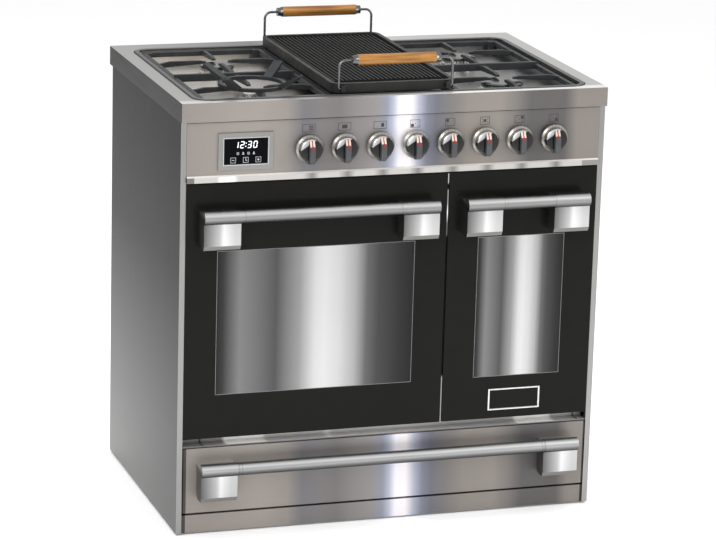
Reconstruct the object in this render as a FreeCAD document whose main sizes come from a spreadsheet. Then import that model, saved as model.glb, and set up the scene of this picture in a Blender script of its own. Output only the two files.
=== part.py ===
import FreeCAD, Part
import math
import os
import Sketcher

# Freestanding range cooker, 900 mm wide: gas hob with griddle, two ovens, storage drawer.
# Millimetres, +Z up, front at -Y, origin on the floor at the middle of the outline.

doc = FreeCAD.newDocument("range_cooker")
sheet = doc.addObject("Spreadsheet::Sheet", "Sizes")

SIZES = {
    # carcass
    "cooker_width": 900,
    "cooker_height": 900,
    "worktop_depth": 600,
    "apron_height": 40,
    "apron_return": 26,
    "front_setback": 8,
    "rear_overhang": 22,
    "metal": 2,
    "panel_inset": 1,
    "panel_lift": 4,
    "flange_width": 12,
    "flange_return": 14,
    "running_gap": 0.3,
    "base_height": 42,
    "foot_radius": 19,
    "foot_stem": 6,
    "foot_pad": 12,
    "foot_inset": 60,
    "vent_length": 70,
    "vent_height": 4,
    "vent_margin": 162,
    "vent_drop": 40,
    "vent_row_gap": 24,
    # front layout: drawer and door foot from the floor, the rest down from the worktop
    "plinth_top": 42,
    "plinth_recess": 3,
    "drawer_bottom": 47,
    "drawer_top": 184,
    "door_bottom": 204,
    "door_clearance": 3,
    "rail_depth": 28,
    "panel_height": 123,
    "panel_seam": 2.5,
    "lip_height": 11,
    "lip_reach": 5,
    "door_side_gap": 13,
    "door_split": 114,
    "door_split_gap": 4,
    # doors
    "glass_thick": 5,
    "door_thick": 40,
    "inner_glass_thick": 4,
    "frame_inset": 12,
    "window_frame": 66,
    "window_foot": 91,
    "window_head": 139,
    "inner_glass_lap": 14,
    "hinge_depth": 12,
    "hinge_rise": 10,
    "hinge_pin_radius": 4,
    "hinge_lug_radius": 6.4,
    "hinge_lug_width": 8,
    "hinge_block": 24,
    "hinge_pin_out": 9,
    # handles
    "handle_reach": 46,
    "handle_bar_radius": 13.5,
    "handle_boss_radius": 14.2,
    "handle_block_width": 76,
    "handle_block_drop": 66,
    "handle_block_depth": 38,
    "handle_bevel": 9,
    "handle_wall": 2.5,
    "handle_end_gap": 28,
    "door_handle_drop": 62,
    "drawer_handle_drop": 38,
    # drawer
    "drawer_front_thick": 18,
    "drawer_wall": 2,
    "drawer_box_depth": 450,
    "drawer_box_side": 46,
    "drawer_box_bottom": 60,
    "drawer_box_top": 160,
    "runner_height": 104,
    "runner_thick": 6,
    "runner_width": 9,
    # control panel
    "knob_drop": 62,
    "knob_margin": 113.8,
    "knob_pitch": 74.6,
    "knob_radius": 28.5,
    "knob_skirt": 9,
    "knob_cone": 3.5,
    "knob_cap_radius": 23.5,
    "knob_depth": 19,
    "knob_tail": 28,
    "knob_tail_width": 13,
    "knob_grip_width": 11,
    "knob_grip_height": 10,
    "knob_gap": 5,
    "spindle_radius": 4,
    "spindle_length": 30,
    "timer_width": 114,
    "timer_height": 76,
    "timer_margin": 134,
    "timer_rim": 12,
    "timer_proud": 3,
    "timer_body": 30,
    # gas supply
    "tap_width": 26,
    "tap_height": 32,
    "tap_start": 10,
    "tap_depth": 34,
    "plug_radius": 6.4,
    "plug_length": 24,
    "manifold_size": 20,
    "inlet_radius": 10.48,
    "inlet_length": 16,
    "feed_radius": 9,
    "switch_size": 42,
    "switch_depth": 28,
    # hob
    "hob_width": 816,
    "hob_depth": 512,
    "hob_front_margin": 28,
    "hob_corner": 26,
    "hob_seam": 2,
    "tray_depth": 28,
    "tray_flange": 12,
    "burner_cup_depth": 30,
    "burner_flange": 3,
    "burner_lip": 6,
    "crown_height": 12,
    "crown_wall": 5,
    "slot_width": 1.8,
    "slot_pitch": 7.5,
    "slot_depth": 5,
    "cap_height": 5,
    "small_burner": 24,
    "medium_burner": 34,
    "large_burner": 42,
    "wok_burner": 62,
    "side_burner_x": 268,
    "front_burner_y": -146,
    "rear_burner_y": 122,
    # pan supports
    "support_gap": 4,
    "support_rise": 2,
    "support_bar": 10,
    "support_bar_height": 10,
    "support_leg": 12,
    "finger_width": 8,
    "finger_tip": 4,
    "finger_drop": 5,
    "finger_nose": 2.5,
    "finger_clear": 24,
    "wok_ring_radius": 70,
    "wok_ring_width": 9,
    "wok_ring_height": 7,
    "wok_prong_reach": 40,
    "wok_prong_rise": 30,
    "wok_prong_width": 20,
    # griddle
    "griddle_width": 262,
    "griddle_length": 520,
    "griddle_thick": 19,
    "griddle_corner": 22,
    "griddle_rim": 9,
    "griddle_well": 9,
    "griddle_hollow": 4,
    "griddle_rib": 4.5,
    "griddle_rib_pitch": 9.4,
    "griddle_rib_height": 6,
    "griddle_trough": 44,
    "griddle_shift": 8,
    "bail_span": 222,
    "bail_height": 58,
    "bail_wire": 2.6,
    "bail_bend": 14,
    "grip_radius": 11,
    "grip_waist": 9,
    "grip_length": 186,
    "ear_width": 9,
    "ear_reach": 11,
    "ear_height": 12,
    # ovens
    "mouth_margin": 62,
    "mouth_foot": 58,
    "mouth_head": 94,
    "oven_depth": 420,
    "oven_wall": 2,
    "seal_width": 10,
    "fan_radius": 72,
    "fan_depth": 24,
    "fan_hub": 14,
    "fan_shaft": 4,
    "fan_blades": 12,
    "blade_length": 30,
    "grille_inner": 30,
    "grille_outer": 50,
    "motor_radius": 38,
    "motor_length": 46,
    "motor_flange": 57,
    "baffle_gap": 42,
    "element_radius": 3.4,
    "ring_element": 92,
    "ring_stub": 2.6,
    "rack_wire": 2.4,
    "rack_height": 90,
    "rack_side_gap": 8,
    # mains
    "terminal_width": 96,
    "terminal_height": 70,
    "terminal_depth": 20,
    "gland_radius": 6.5,
    "gland_depth": 18,
}


class Size:
    """A length with its number and the sheet expression that it comes from."""

    def __init__(self, value, text):
        self.value = value
        self.text = text

    def __add__(self, other):
        other = as_size(other)
        return Size(self.value + other.value, "(%s + %s)" % (self.text, other.text))

    def __sub__(self, other):
        other = as_size(other)
        return Size(self.value - other.value, "(%s - %s)" % (self.text, other.text))

    def __mul__(self, factor):
        return Size(self.value * factor, "(%s * %s)" % (self.text, factor))

    def __truediv__(self, factor):
        return Size(self.value / factor, "(%s / %s)" % (self.text, factor))

    def __neg__(self):
        return Size(-self.value, "(0 - %s)" % self.text)

    def __radd__(self, other):
        return as_size(other) + self

    def __rsub__(self, other):
        return as_size(other) - self

    __rmul__ = __mul__


def as_size(number):
    """A Size as it is, or a plain number as a Size."""
    if isinstance(number, Size):
        return number
    return Size(float(number), "(%s)" % number if number < 0 else str(number))


class SizeBook:
    """Every sheet cell by its alias."""


s = SizeBook()
for row, (alias, number) in enumerate(SIZES.items(), start=1):
    sheet.set("A%d" % row, alias)
    sheet.set("B%d" % row, str(number))
    sheet.setAlias("B%d" % row, alias)
    setattr(s, alias, Size(float(number), "Sizes." + alias))
doc.recompute()

ZERO = as_size(0)
Z_AXIS = FreeCAD.Vector(0, 0, 1)
TURNS = {
    "x": FreeCAD.Rotation(FreeCAD.Vector(0, 1, 0), 90),
    "y": FreeCAD.Rotation(FreeCAD.Vector(1, 0, 0), -90),
    "z": FreeCAD.Rotation(),
    "front": FreeCAD.Rotation(FreeCAD.Vector(1, 0, 0), 90),
}
nodes = []


def bind(item, **expressions):
    """Tie properties of an object to sheet expressions."""
    for prop, size in expressions.items():
        item.setExpression(prop, as_size(size).text)


def place(item, x, y, z, turn="z"):
    """Stand an object at a bound point, turned so that its own Z lies along the named axis."""
    item.Placement = FreeCAD.Placement(FreeCAD.Vector(), TURNS[turn])
    for prop, size in zip(("x", "y", "z"), (x, y, z)):
        item.setExpression(".Placement.Base." + prop, as_size(size).text)
    return item


def block(x0, y0, z0, x1, y1, z1):
    """A box from its lowest to its highest corner."""
    item = doc.addObject("Part::Box", "Block")
    bind(item, Length=as_size(x1) - x0, Width=as_size(y1) - y0, Height=as_size(z1) - z0)
    return place(item, x0, y0, z0)


def rod(axis, x, y, z, radius, length):
    """A round bar from a point along an axis."""
    item = doc.addObject("Part::Cylinder", "Rod")
    bind(item, Radius=radius, Height=length)
    return place(item, x, y, z, axis)


def ring(axis, x, y, z, radius, wire):
    """A round wire bent to a full circle."""
    item = doc.addObject("Part::Torus", "Ring")
    bind(item, Radius1=radius, Radius2=wire)
    return place(item, x, y, z, axis)


def fuse(*items):
    """One solid from several that meet."""
    joined = doc.addObject("Part::MultiFuse", "Joined")
    joined.Shapes = list(items)
    joined.Refine = True
    return joined


def cut(base, *tools):
    """A solid less one or more others."""
    result = doc.addObject("Part::Cut", "Cut")
    result.Base = base
    result.Tool = tools[0] if len(tools) == 1 else fuse(*tools)
    result.Refine = True
    return result


def group(*items):
    """Separate solids kept as one set."""
    bundle = doc.addObject("Part::Compound", "Set")
    bundle.Links = list(items)
    return bundle


def mirrored(item):
    """The same shape on the other side of the middle plane."""
    copy = doc.addObject("Part::Mirroring", "Mirrored")
    copy.Source = item
    copy.Normal = FreeCAD.Vector(1, 0, 0)
    return copy


def round_edges(item, radius, chosen):
    """Fillet the straight edges that a test picks."""
    doc.recompute()
    rounded = doc.addObject("Part::Fillet", "Rounded")
    rounded.Base = item
    picked = [i for i, edge in enumerate(item.Shape.Edges, start=1) if chosen(edge)]
    rounded.Edges = [(i, radius.value, radius.value) for i in picked]
    return rounded


def upright(edge):
    """True for a straight edge along Z."""
    if len(edge.Vertexes) < 2:
        return False
    run = edge.Vertexes[1].Point - edge.Vertexes[0].Point
    return run.Length > 0 and abs(run.z) > 0.999 * run.Length


def round_block(x0, y0, z0, x1, y1, z1, radius):
    """A box with rounded upright edges."""
    return round_edges(block(x0, y0, z0, x1, y1, z1), radius, upright)


def bent_tube(points, radius, bends):
    """A round tube through points, with a tangent arc at each corner."""
    corners = [FreeCAD.Vector(*[as_size(size).value for size in point]) for point in points]
    edges = []
    start = corners[0]
    for i, bend in enumerate(bends, start=1):
        corner = corners[i]
        arriving = (corner - corners[i - 1]).normalize()
        leaving = (corners[i + 1] - corner).normalize()
        half_turn = arriving.getAngle(leaving) / 2
        run = bend.value * math.tan(half_turn)
        inward = (leaving - arriving).normalize()
        middle = corner + inward * (bend.value / math.cos(half_turn) - bend.value)
        edges.append(Part.LineSegment(start, corner - arriving * run).toShape())
        edges.append(Part.Arc(corner - arriving * run, middle, corner + leaving * run).toShape())
        start = corner + leaving * run
    edges.append(Part.LineSegment(start, corners[-1]).toShape())
    path = Part.Wire(edges)
    heading = corners[1] - corners[0]
    section = Part.Wire(Part.Circle(corners[0], heading, radius.value).toShape())
    tube = doc.addObject("Part::Feature", "BentTube")
    tube.Shape = path.makePipeShell([section], True, True)
    return tube


def origin_part(body, role):
    """A plane or axis of a body's own origin."""
    return [item for item in body.Origin.OriginFeatures if item.Role == role][0]


def outline_sketch(body, role, loops, name="Outline"):
    """A sketch of closed straight loops whose corners are bound to the sheet."""
    sketch = body.newObject("Sketcher::SketchObject", name)
    sketch.AttachmentSupport = [(origin_part(body, role), "")]
    sketch.MapMode = "FlatFace"
    for loop in loops:
        corners = [(as_size(u), as_size(v)) for u, v in loop]
        first = sketch.GeometryCount
        count = len(corners)
        for i, (u, v) in enumerate(corners):
            after_u, after_v = corners[(i + 1) % count]
            start = FreeCAD.Vector(u.value, v.value, 0)
            end = FreeCAD.Vector(after_u.value, after_v.value, 0)
            sketch.addGeometry(Part.LineSegment(start, end), False)
        for i in range(count):
            following = first + (i + 1) % count
            sketch.addConstraint(Sketcher.Constraint("Coincident", first + i, 2, following, 1))
        for i, (u, v) in enumerate(corners):
            for kind, size in (("DistanceX", u), ("DistanceY", v)):
                index = sketch.addConstraint(
                    Sketcher.Constraint(kind, -1, 1, first + i, 1, size.value))
                sketch.setExpression("Constraints[%d]" % index, size.text)
    return sketch


def prism(role, loops, x, y, z, length):
    """A padded outline: YZ_Plane pads towards +X, XZ_Plane towards +Y, XY_Plane towards +Z."""
    body = doc.addObject("PartDesign::Body", "Body")
    sketch = outline_sketch(body, role, loops)
    pad = body.newObject("PartDesign::Pad", "Pad")
    pad.Profile = sketch
    bind(pad, Length=length)
    pad.Reversed = role == "XZ_Plane"
    return place(body, x, y, z)


def turned(loop, x, y, z, turn="z"):
    """A revolved half outline (radius, height) about its own Z."""
    body = doc.addObject("PartDesign::Body", "Body")
    sketch = outline_sketch(body, "XZ_Plane", [loop])
    spin = body.newObject("PartDesign::Revolution", "Revolution")
    spin.Profile = sketch
    spin.ReferenceAxis = (sketch, ["V_Axis"])
    spin.Angle = 360
    return place(body, x, y, z, turn)


def rectangle(u0, v0, u1, v1):
    """Four corners in order."""
    return [(u0, v0), (u1, v0), (u1, v1), (u0, v1)]


def node(name, item):
    """Keep an object as a finished piece under its own name."""
    item.Label = name
    nodes.append(item)
    return item


# Main planes
half = s.cooker_width / 2
front = (s.handle_reach + s.front_setback - s.worktop_depth) / 2
apron_front = front - s.front_setback
top_rear = apron_front + s.worktop_depth
body_rear = top_rear - s.rear_overhang
under_top = s.cooker_height - s.apron_height
panel_x = half - s.panel_inset
inner_x = panel_x - s.metal
flange_x = panel_x - s.flange_width
frame_y = front + s.door_thick + s.metal
hinge_y = front + s.hinge_depth
hinge_z = s.door_bottom + s.hinge_rise
panel_bottom = under_top - s.panel_height
panel_top = under_top - s.panel_seam
knob_z = under_top - s.knob_drop
door_top = panel_bottom - s.door_clearance
window_bottom = s.door_bottom + s.window_foot
window_top = door_top - s.window_head
mouth_bottom = s.door_bottom + s.mouth_foot
mouth_top = door_top - s.mouth_head
left_door_x = (s.door_side_gap - half, s.door_split - s.door_split_gap / 2)
right_door_x = (s.door_split + s.door_split_gap / 2, half - s.door_side_gap)
tray_floor = s.cooker_height - s.tray_depth
hob_front = apron_front + s.hob_front_margin
hob_rear = hob_front + s.hob_depth
knob_x = [half - s.knob_margin - s.knob_pitch * (7 - i) for i in range(8)]
oven_knobs = range(3)
gas_knobs = range(3, 8)
manifold_y = front + s.tap_start + s.tap_depth

burners = {
    "front_left": (-s.side_burner_x, s.front_burner_y, s.small_burner),
    "rear_left": (-s.side_burner_x, s.rear_burner_y, s.medium_burner),
    "centre": (ZERO, (s.front_burner_y + s.rear_burner_y) / 2, s.wok_burner),
    "rear_right": (s.side_burner_x, s.rear_burner_y, s.medium_burner),
    "front_right": (s.side_burner_x, s.front_burner_y, s.large_burner),
}


# Carcass
def side_panel():
    """Folded side sheet: skin, front flange with its return, rear flange."""
    skin, back = inner_x, body_rear - s.metal
    fold = flange_x + s.metal
    loop = [
        (panel_x, front), (panel_x, body_rear), (flange_x, body_rear), (flange_x, back),
        (skin, back), (skin, front + s.metal), (fold, front + s.metal),
        (fold, front + s.flange_return), (flange_x, front + s.flange_return), (flange_x, front),
    ]
    return prism("XY_Plane", [loop], ZERO, ZERO, s.panel_lift, under_top - s.panel_lift)


node("right_side_panel", side_panel())
node("left_side_panel", mirrored(side_panel()))

vent_pitch = (s.cooker_width - s.vent_margin * 2) / 6
vent_row = [i - 3 for i in range(7)]
rear_y = body_rear - s.metal
vents = []
for level in (under_top - s.vent_drop, under_top - s.vent_drop - s.vent_row_gap):
    for i in vent_row:
        middle = vent_pitch * i
        vents.append(block(middle - s.vent_length / 2, rear_y - s.metal * 2, level,
                           middle + s.vent_length / 2, body_rear, level + s.vent_height))
rear_skin_y = rear_y - s.metal
inlet_x = flange_x - s.apron_return * 2
inlet_hole = rod("y", inlet_x, rear_skin_y - s.metal, knob_z, s.feed_radius + s.running_gap,
                 s.metal * 3)
node("rear_panel", cut(
    block(-inner_x, rear_skin_y, s.panel_lift, inner_x, rear_y, under_top), inlet_hole, *vents))

base_front = front + s.drawer_front_thick
base_rim = s.base_height - s.flange_width
node("base_pan", cut(
    block(-inner_x, base_front, base_rim, inner_x, rear_skin_y, s.base_height),
    block(s.metal - inner_x, base_front + s.metal, base_rim - s.metal,
          inner_x - s.metal, rear_skin_y - s.metal, s.base_height - s.metal)))

foot_top = s.base_height - s.metal
feet = []
for foot_x in (s.foot_inset - half, half - s.foot_inset):
    for foot_y in (base_front + s.foot_inset, rear_y - s.foot_inset):
        feet.append(turned([
            (ZERO, ZERO), (s.foot_radius, ZERO), (s.foot_radius, s.foot_pad - s.metal),
            (s.foot_radius - s.metal, s.foot_pad), (s.foot_stem, s.foot_pad),
            (s.foot_stem, foot_top), (ZERO, foot_top)], foot_x, foot_y, ZERO))
node("levelling_feet", group(*feet))

plinth_y = front + s.plinth_recess
node("plinth", prism("YZ_Plane", [[
    (plinth_y, s.panel_lift), (plinth_y + s.metal, s.panel_lift),
    (plinth_y + s.metal, s.plinth_top - s.metal), (base_front, s.plinth_top - s.metal),
    (base_front, s.plinth_top), (plinth_y, s.plinth_top)]],
    -flange_x, ZERO, ZERO, flange_x * 2))


# Front frame with oven mouths, hinge lugs and the rail over the drawer
def mouth(door_x):
    """Left and right edge of the oven opening behind a door."""
    return door_x[0] + s.mouth_margin, door_x[1] - s.mouth_margin


left_mouth, right_mouth = mouth(left_door_x), mouth(right_door_x)
frame_back = frame_y + s.metal
mouth_holes = [block(x0, frame_y - s.metal, mouth_bottom, x1, frame_back + s.metal, mouth_top)
               for x0, x1 in (left_mouth, right_mouth)]
rail_y = front + s.rail_depth
rail = prism("YZ_Plane", [[
    (rail_y, s.door_bottom - s.metal), (rail_y, s.drawer_top + s.metal * 2),
    (front + s.metal, s.drawer_top + s.metal * 2), (front + s.metal, s.drawer_top + s.metal),
    (frame_back, s.drawer_top + s.metal), (frame_back, s.door_bottom - s.metal)]],
    -flange_x, ZERO, ZERO, flange_x * 2)
lug_centres = []
for door_x in (left_door_x, right_door_x):
    lug_centres += [door_x[0] + s.frame_inset / 2, door_x[1] - s.frame_inset / 2]
lugs = []
lug_bores = []
for centre in lug_centres:
    lug_x = centre - s.hinge_lug_width / 2
    lugs.append(rod("x", lug_x, hinge_y, hinge_z, s.hinge_lug_radius, s.hinge_lug_width))
    lugs.append(block(lug_x, hinge_y, hinge_z - s.hinge_lug_radius, lug_x + s.hinge_lug_width,
                      frame_back, hinge_z + s.hinge_lug_radius))
    lug_bores.append(rod("x", lug_x - s.metal, hinge_y, hinge_z, s.hinge_pin_radius + s.running_gap,
                         s.hinge_lug_width + s.metal * 2))
frame_plate = block(-flange_x, frame_y, s.drawer_top + s.metal, flange_x, frame_back, panel_bottom)
node("front_frame", cut(fuse(frame_plate, rail, *lugs), *mouth_holes, *lug_bores))

seals = []
for x0, x1 in (left_mouth, right_mouth):
    outer = block(x0 - s.seal_width, frame_y - s.metal + s.running_gap, mouth_bottom - s.seal_width,
                  x1 + s.seal_width, frame_y, mouth_top + s.seal_width)
    inner = block(x0, frame_y - s.metal * 2, mouth_bottom, x1, frame_y + s.metal, mouth_top)
    seals.append(cut(outer, inner))
node("oven_seals", group(*seals))


# Control panel, one folded sheet with the polished lip along its lower edge
def panel_sheet():
    """Section of the panel, front face down to the lip, then back under it."""
    lip_top = panel_bottom + s.lip_height
    lip_y = front - s.lip_reach
    sheet_back = front + s.metal
    return [
        (front, panel_top), (front, lip_top + s.lip_reach / 2), (lip_y, lip_top), (lip_y, panel_bottom),
        (frame_back, panel_bottom), (frame_back, panel_bottom + s.metal),
        (lip_y + s.metal, panel_bottom + s.metal), (lip_y + s.metal, lip_top - s.metal / 2),
        (sheet_back, lip_top + s.metal), (sheet_back, panel_top),
    ]


timer_x0 = s.timer_margin - half - s.timer_width / 2
timer_x1 = s.timer_margin - half + s.timer_width / 2
timer_z0 = knob_z - s.timer_height / 2
timer_z1 = knob_z + s.timer_height / 2
timer_hole = block(timer_x0 + s.timer_rim / 2, front - s.metal, timer_z0 + s.timer_rim / 2,
                   timer_x1 - s.timer_rim / 2, front + s.metal * 2, timer_z1 - s.timer_rim / 2)
spindle_holes = [rod("y", x, front - s.metal, knob_z, s.spindle_radius + s.metal, s.metal * 4)
                 for x in knob_x]
panel_strip = prism("YZ_Plane", [panel_sheet()], -flange_x, ZERO, ZERO, flange_x * 2)
node("control_panel", cut(panel_strip, timer_hole, *spindle_holes))

bezel = cut(
    block(timer_x0, front - s.timer_proud, timer_z0, timer_x1, front, timer_z1),
    block(timer_x0 + s.timer_rim, front - s.timer_proud * 2, timer_z0 + s.timer_rim,
          timer_x1 - s.timer_rim, front + s.metal, timer_z1 - s.timer_rim))
screen = block(timer_x0 + s.timer_rim, front - s.timer_proud / 2, timer_z0 + s.timer_rim,
               timer_x1 - s.timer_rim, front + s.timer_body, timer_z1 - s.timer_rim)
node("timer_module", group(bezel, screen))


# Gas supply: square manifold, one tap per burner, feed pipe to the inlet at the rear
def tap_body(x):
    """Tap block with the bore for its plug."""
    y0 = front + s.tap_start
    base = block(x - s.tap_width / 2, y0, knob_z - s.tap_height / 2,
                 x + s.tap_width / 2, manifold_y, knob_z + s.tap_height / 2)
    bore = rod("y", x, y0 - s.metal, knob_z, s.plug_radius + s.running_gap,
               s.plug_length + s.metal + s.running_gap)
    return cut(base, bore)


manifold_z0 = knob_z - s.manifold_size / 2
manifold_z1 = knob_z + s.manifold_size / 2
manifold_back = manifold_y + s.manifold_size
manifold = block(knob_x[3] - s.tap_width, manifold_y, manifold_z0,
                 inlet_x + s.tap_width / 2, manifold_back, manifold_z1)
feed = rod("y", inlet_x, manifold_back - s.metal, knob_z, s.feed_radius,
           rear_y - manifold_back + s.metal)
inlet = turned([
    (ZERO, ZERO), (s.inlet_radius, ZERO), (s.inlet_radius, s.inlet_length),
    (s.feed_radius - s.metal, s.inlet_length), (s.feed_radius - s.metal, s.metal), (ZERO, s.metal)],
    inlet_x, rear_y, knob_z, "y")
node("gas_manifold", group(fuse(manifold, feed, inlet), *[tap_body(knob_x[i]) for i in gas_knobs]))

for number, i in enumerate(gas_knobs, start=1):
    plug = rod("y", knob_x[i], front + s.tap_start, knob_z, s.plug_radius, s.plug_length)
    socket = rod("y", knob_x[i], front + s.tap_start - s.metal, knob_z,
                 s.spindle_radius + s.running_gap, s.plug_length - s.metal * 2)
    node("tap_plug_%d" % number, cut(plug, socket))

switches = []
bracket_y = front + s.tap_start + s.switch_depth
for i in oven_knobs:
    x = knob_x[i]
    base = block(x - s.switch_size / 2, front + s.tap_start, knob_z - s.switch_size / 2,
                 x + s.switch_size / 2, bracket_y, knob_z + s.switch_size / 2)
    switches.append(cut(base, rod("y", x, front, knob_z, s.spindle_radius + s.running_gap,
                                  s.spindle_length)))
switch_rail = block(knob_x[0] - s.switch_size / 2, bracket_y, panel_bottom + s.metal,
                    knob_x[2] + s.switch_size / 2, bracket_y + s.metal, knob_z + s.switch_size / 2)
node("oven_switches", group(switch_rail, *switches))


# Where the tail's straight sides leave the round cap, as shares of its radius
SHOULDER_ACROSS = 0.8
SHOULDER_DOWN = 0.6


def knob(x):
    """Coned skirt, round cap that runs out to a tail, ridge with a sloping pointer face, spindle behind."""
    z0 = s.knob_gap
    rim = s.knob_gap + s.knob_skirt
    face = s.knob_gap + s.knob_depth
    crest = face + s.knob_grip_height
    cap_edge = s.knob_cap_radius - s.metal / 2
    body = turned([
        (ZERO, z0), (s.knob_radius, z0), (s.knob_radius, rim - s.knob_cone),
        (s.knob_radius - s.knob_cone, rim), (s.knob_cap_radius, rim),
        (cap_edge, face - s.metal / 2), (cap_edge - s.metal / 2, face),
        (ZERO, face)], x, front, knob_z, "front")
    shoulder = s.knob_cap_radius * SHOULDER_ACROSS
    shoulder_z = -s.knob_cap_radius * SHOULDER_DOWN
    tail = prism("XZ_Plane", [[
        (-shoulder, shoulder_z), (-s.knob_tail_width / 2, -s.knob_tail),
        (s.knob_tail_width / 2, -s.knob_tail), (shoulder, shoulder_z)]],
        x, front - face + s.metal / 2, knob_z, face - rim)
    ridge = prism("YZ_Plane", [[
        (-face, cap_edge - s.metal), (-crest, s.metal), (-crest + s.metal, -s.knob_cap_radius),
        (-face, -s.knob_tail), (-rim, -s.knob_tail), (-rim, cap_edge - s.metal)]],
        x - s.knob_grip_width / 2, front, knob_z, s.knob_grip_width)
    spindle = rod("y", x, front - z0 - s.metal, knob_z, s.spindle_radius, s.spindle_length)
    return fuse(body, tail, ridge, spindle)


knob_names = ["oven_function_knob", "main_oven_knob", "small_oven_knob"]
knob_names += ["burner_knob_%d" % number for number in range(1, 6)]
for name, x in zip(knob_names, knob_x):
    node(name, knob(x))


# Worktop and hob tray
hob_x = s.hob_width / 2
shell = block(-half, apron_front, under_top, half, top_rear, s.cooker_height)
hollow = block(s.metal - half, apron_front + s.metal, under_top + s.metal,
               half - s.metal, top_rear - s.metal, s.cooker_height - s.metal)
throat = block(s.apron_return - half, front + s.apron_return, under_top - s.metal,
               half - s.apron_return, body_rear - s.apron_return, s.cooker_height - s.metal * 2)
opening = round_block(-hob_x, hob_front, s.cooker_height - s.metal * 2,
                      hob_x, hob_rear, s.cooker_height + s.metal, s.hob_corner)
node("hob_surround", cut(shell, hollow, throat, opening))

seam_x = hob_x - s.hob_seam
flange_top = s.cooker_height - s.metal
pan = round_block(-seam_x, hob_front + s.hob_seam, tray_floor - s.metal,
                  seam_x, hob_rear - s.hob_seam, flange_top, s.hob_corner - s.hob_seam)
tray_rim = round_block(-hob_x - s.tray_flange, hob_front - s.tray_flange, flange_top - s.metal,
                       hob_x + s.tray_flange, hob_rear + s.tray_flange, flange_top, s.hob_corner)
well = round_block(s.metal - seam_x, hob_front + s.hob_seam + s.metal, tray_floor,
                   seam_x - s.metal, hob_rear - s.hob_seam - s.metal, s.cooker_height,
                   s.hob_corner - s.hob_seam - s.metal)
cup_holes = [rod("z", x, y, tray_floor - s.metal * 2, radius + s.running_gap, s.metal * 4)
             for x, y, radius in burners.values()]
node("hob_tray", cut(fuse(pan, tray_rim), well, *cup_holes))


# Burners: cup in the tray, slotted crown, cap
def burner_cup(x, y, radius):
    """Aluminium cup whose flange rests on the tray."""
    edge = radius + s.burner_lip
    return turned([
        (ZERO, -s.burner_cup_depth), (radius - s.burner_lip, -s.burner_cup_depth),
        (radius, -s.burner_lip), (radius, ZERO), (edge, ZERO), (edge, s.burner_flange),
        (radius - s.crown_wall, s.burner_flange), (radius - s.crown_wall * 2, -s.burner_lip),
        (ZERO, -s.burner_lip)], x, y, tray_floor)


def burner_crown(x, y, radius):
    """Ring with a bevelled rim and flame slots cut round it."""
    inner = radius - s.crown_wall
    body = turned([
        (inner, ZERO), (radius + s.burner_flange, ZERO), (radius + s.burner_flange, s.burner_flange),
        (radius, s.burner_flange * 2), (radius, s.crown_height), (inner, s.crown_height)],
        x, y, tray_floor + s.burner_flange)
    doc.recompute()
    slot = outline_sketch(body, "XY_Plane", [rectangle(
        inner - s.metal, -s.slot_width / 2, radius + s.burner_flange * 2, s.slot_width / 2)], "Slot")
    slot.setExpression(".AttachmentOffset.Base.z", s.crown_height.text)
    pocket = body.newObject("PartDesign::Pocket", "FlameSlot")
    pocket.Profile = slot
    bind(pocket, Length=s.slot_depth)
    around = body.newObject("PartDesign::PolarPattern", "FlameSlots")
    around.Originals = [pocket]
    around.Axis = (origin_part(body, "Z_Axis"), [""])
    around.Angle = 360
    around.Occurrences = int(2 * math.pi * radius.value / s.slot_pitch.value)
    body.Tip = around
    return body


def burner_cap(x, y, radius):
    """Enamelled lid with a rounded edge and a locating rib under it."""
    rib = radius - s.crown_wall - s.running_gap
    return turned([
        (ZERO, ZERO), (rib - s.metal, ZERO), (rib - s.metal, -s.metal), (rib, -s.metal), (rib, ZERO),
        (radius + s.metal, ZERO), (radius + s.metal, s.cap_height / 2),
        (radius, s.cap_height - s.cap_height / 5), (radius - s.metal * 2, s.cap_height),
        (ZERO, s.cap_height)], x, y, tray_floor + s.burner_flange + s.crown_height)


node("burner_cups", group(*[burner_cup(*burner) for burner in burners.values()]))
node("burner_crowns", group(*[burner_crown(*burner) for burner in burners.values()]))
node("burner_caps", group(*[burner_cap(*burner) for burner in burners.values()]))

# Cast-iron pan supports
support_top = s.cooker_height + s.support_rise
bar_top = support_top - s.finger_drop
bar_bottom = bar_top - s.support_bar_height
support_inner = s.hob_width / 2 - s.hob_seam - s.metal - s.support_gap
support_y0 = hob_front + s.hob_seam + s.metal + s.support_gap
support_y1 = hob_rear - s.hob_seam - s.metal - s.support_gap
third = support_inner * 2 / 3


def finger(along, start, tip, other):
    """Finger that climbs from the frame bar to the pan level, runs to the burner and noses down."""
    rise = start + (tip - start) / 4
    nose = tip - (tip - start) / 8
    nose_top = support_top - s.finger_nose
    side = [
        (start, bar_bottom + s.metal), (tip, nose_top - s.finger_tip), (tip, nose_top),
        (nose, support_top), (rise, support_top), (start, bar_top)]
    width = s.finger_width
    if along == "x":
        return prism("XZ_Plane", [side], ZERO, other - width / 2, ZERO, width)
    return prism("YZ_Plane", [side], other - width / 2, ZERO, ZERO, width)


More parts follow.
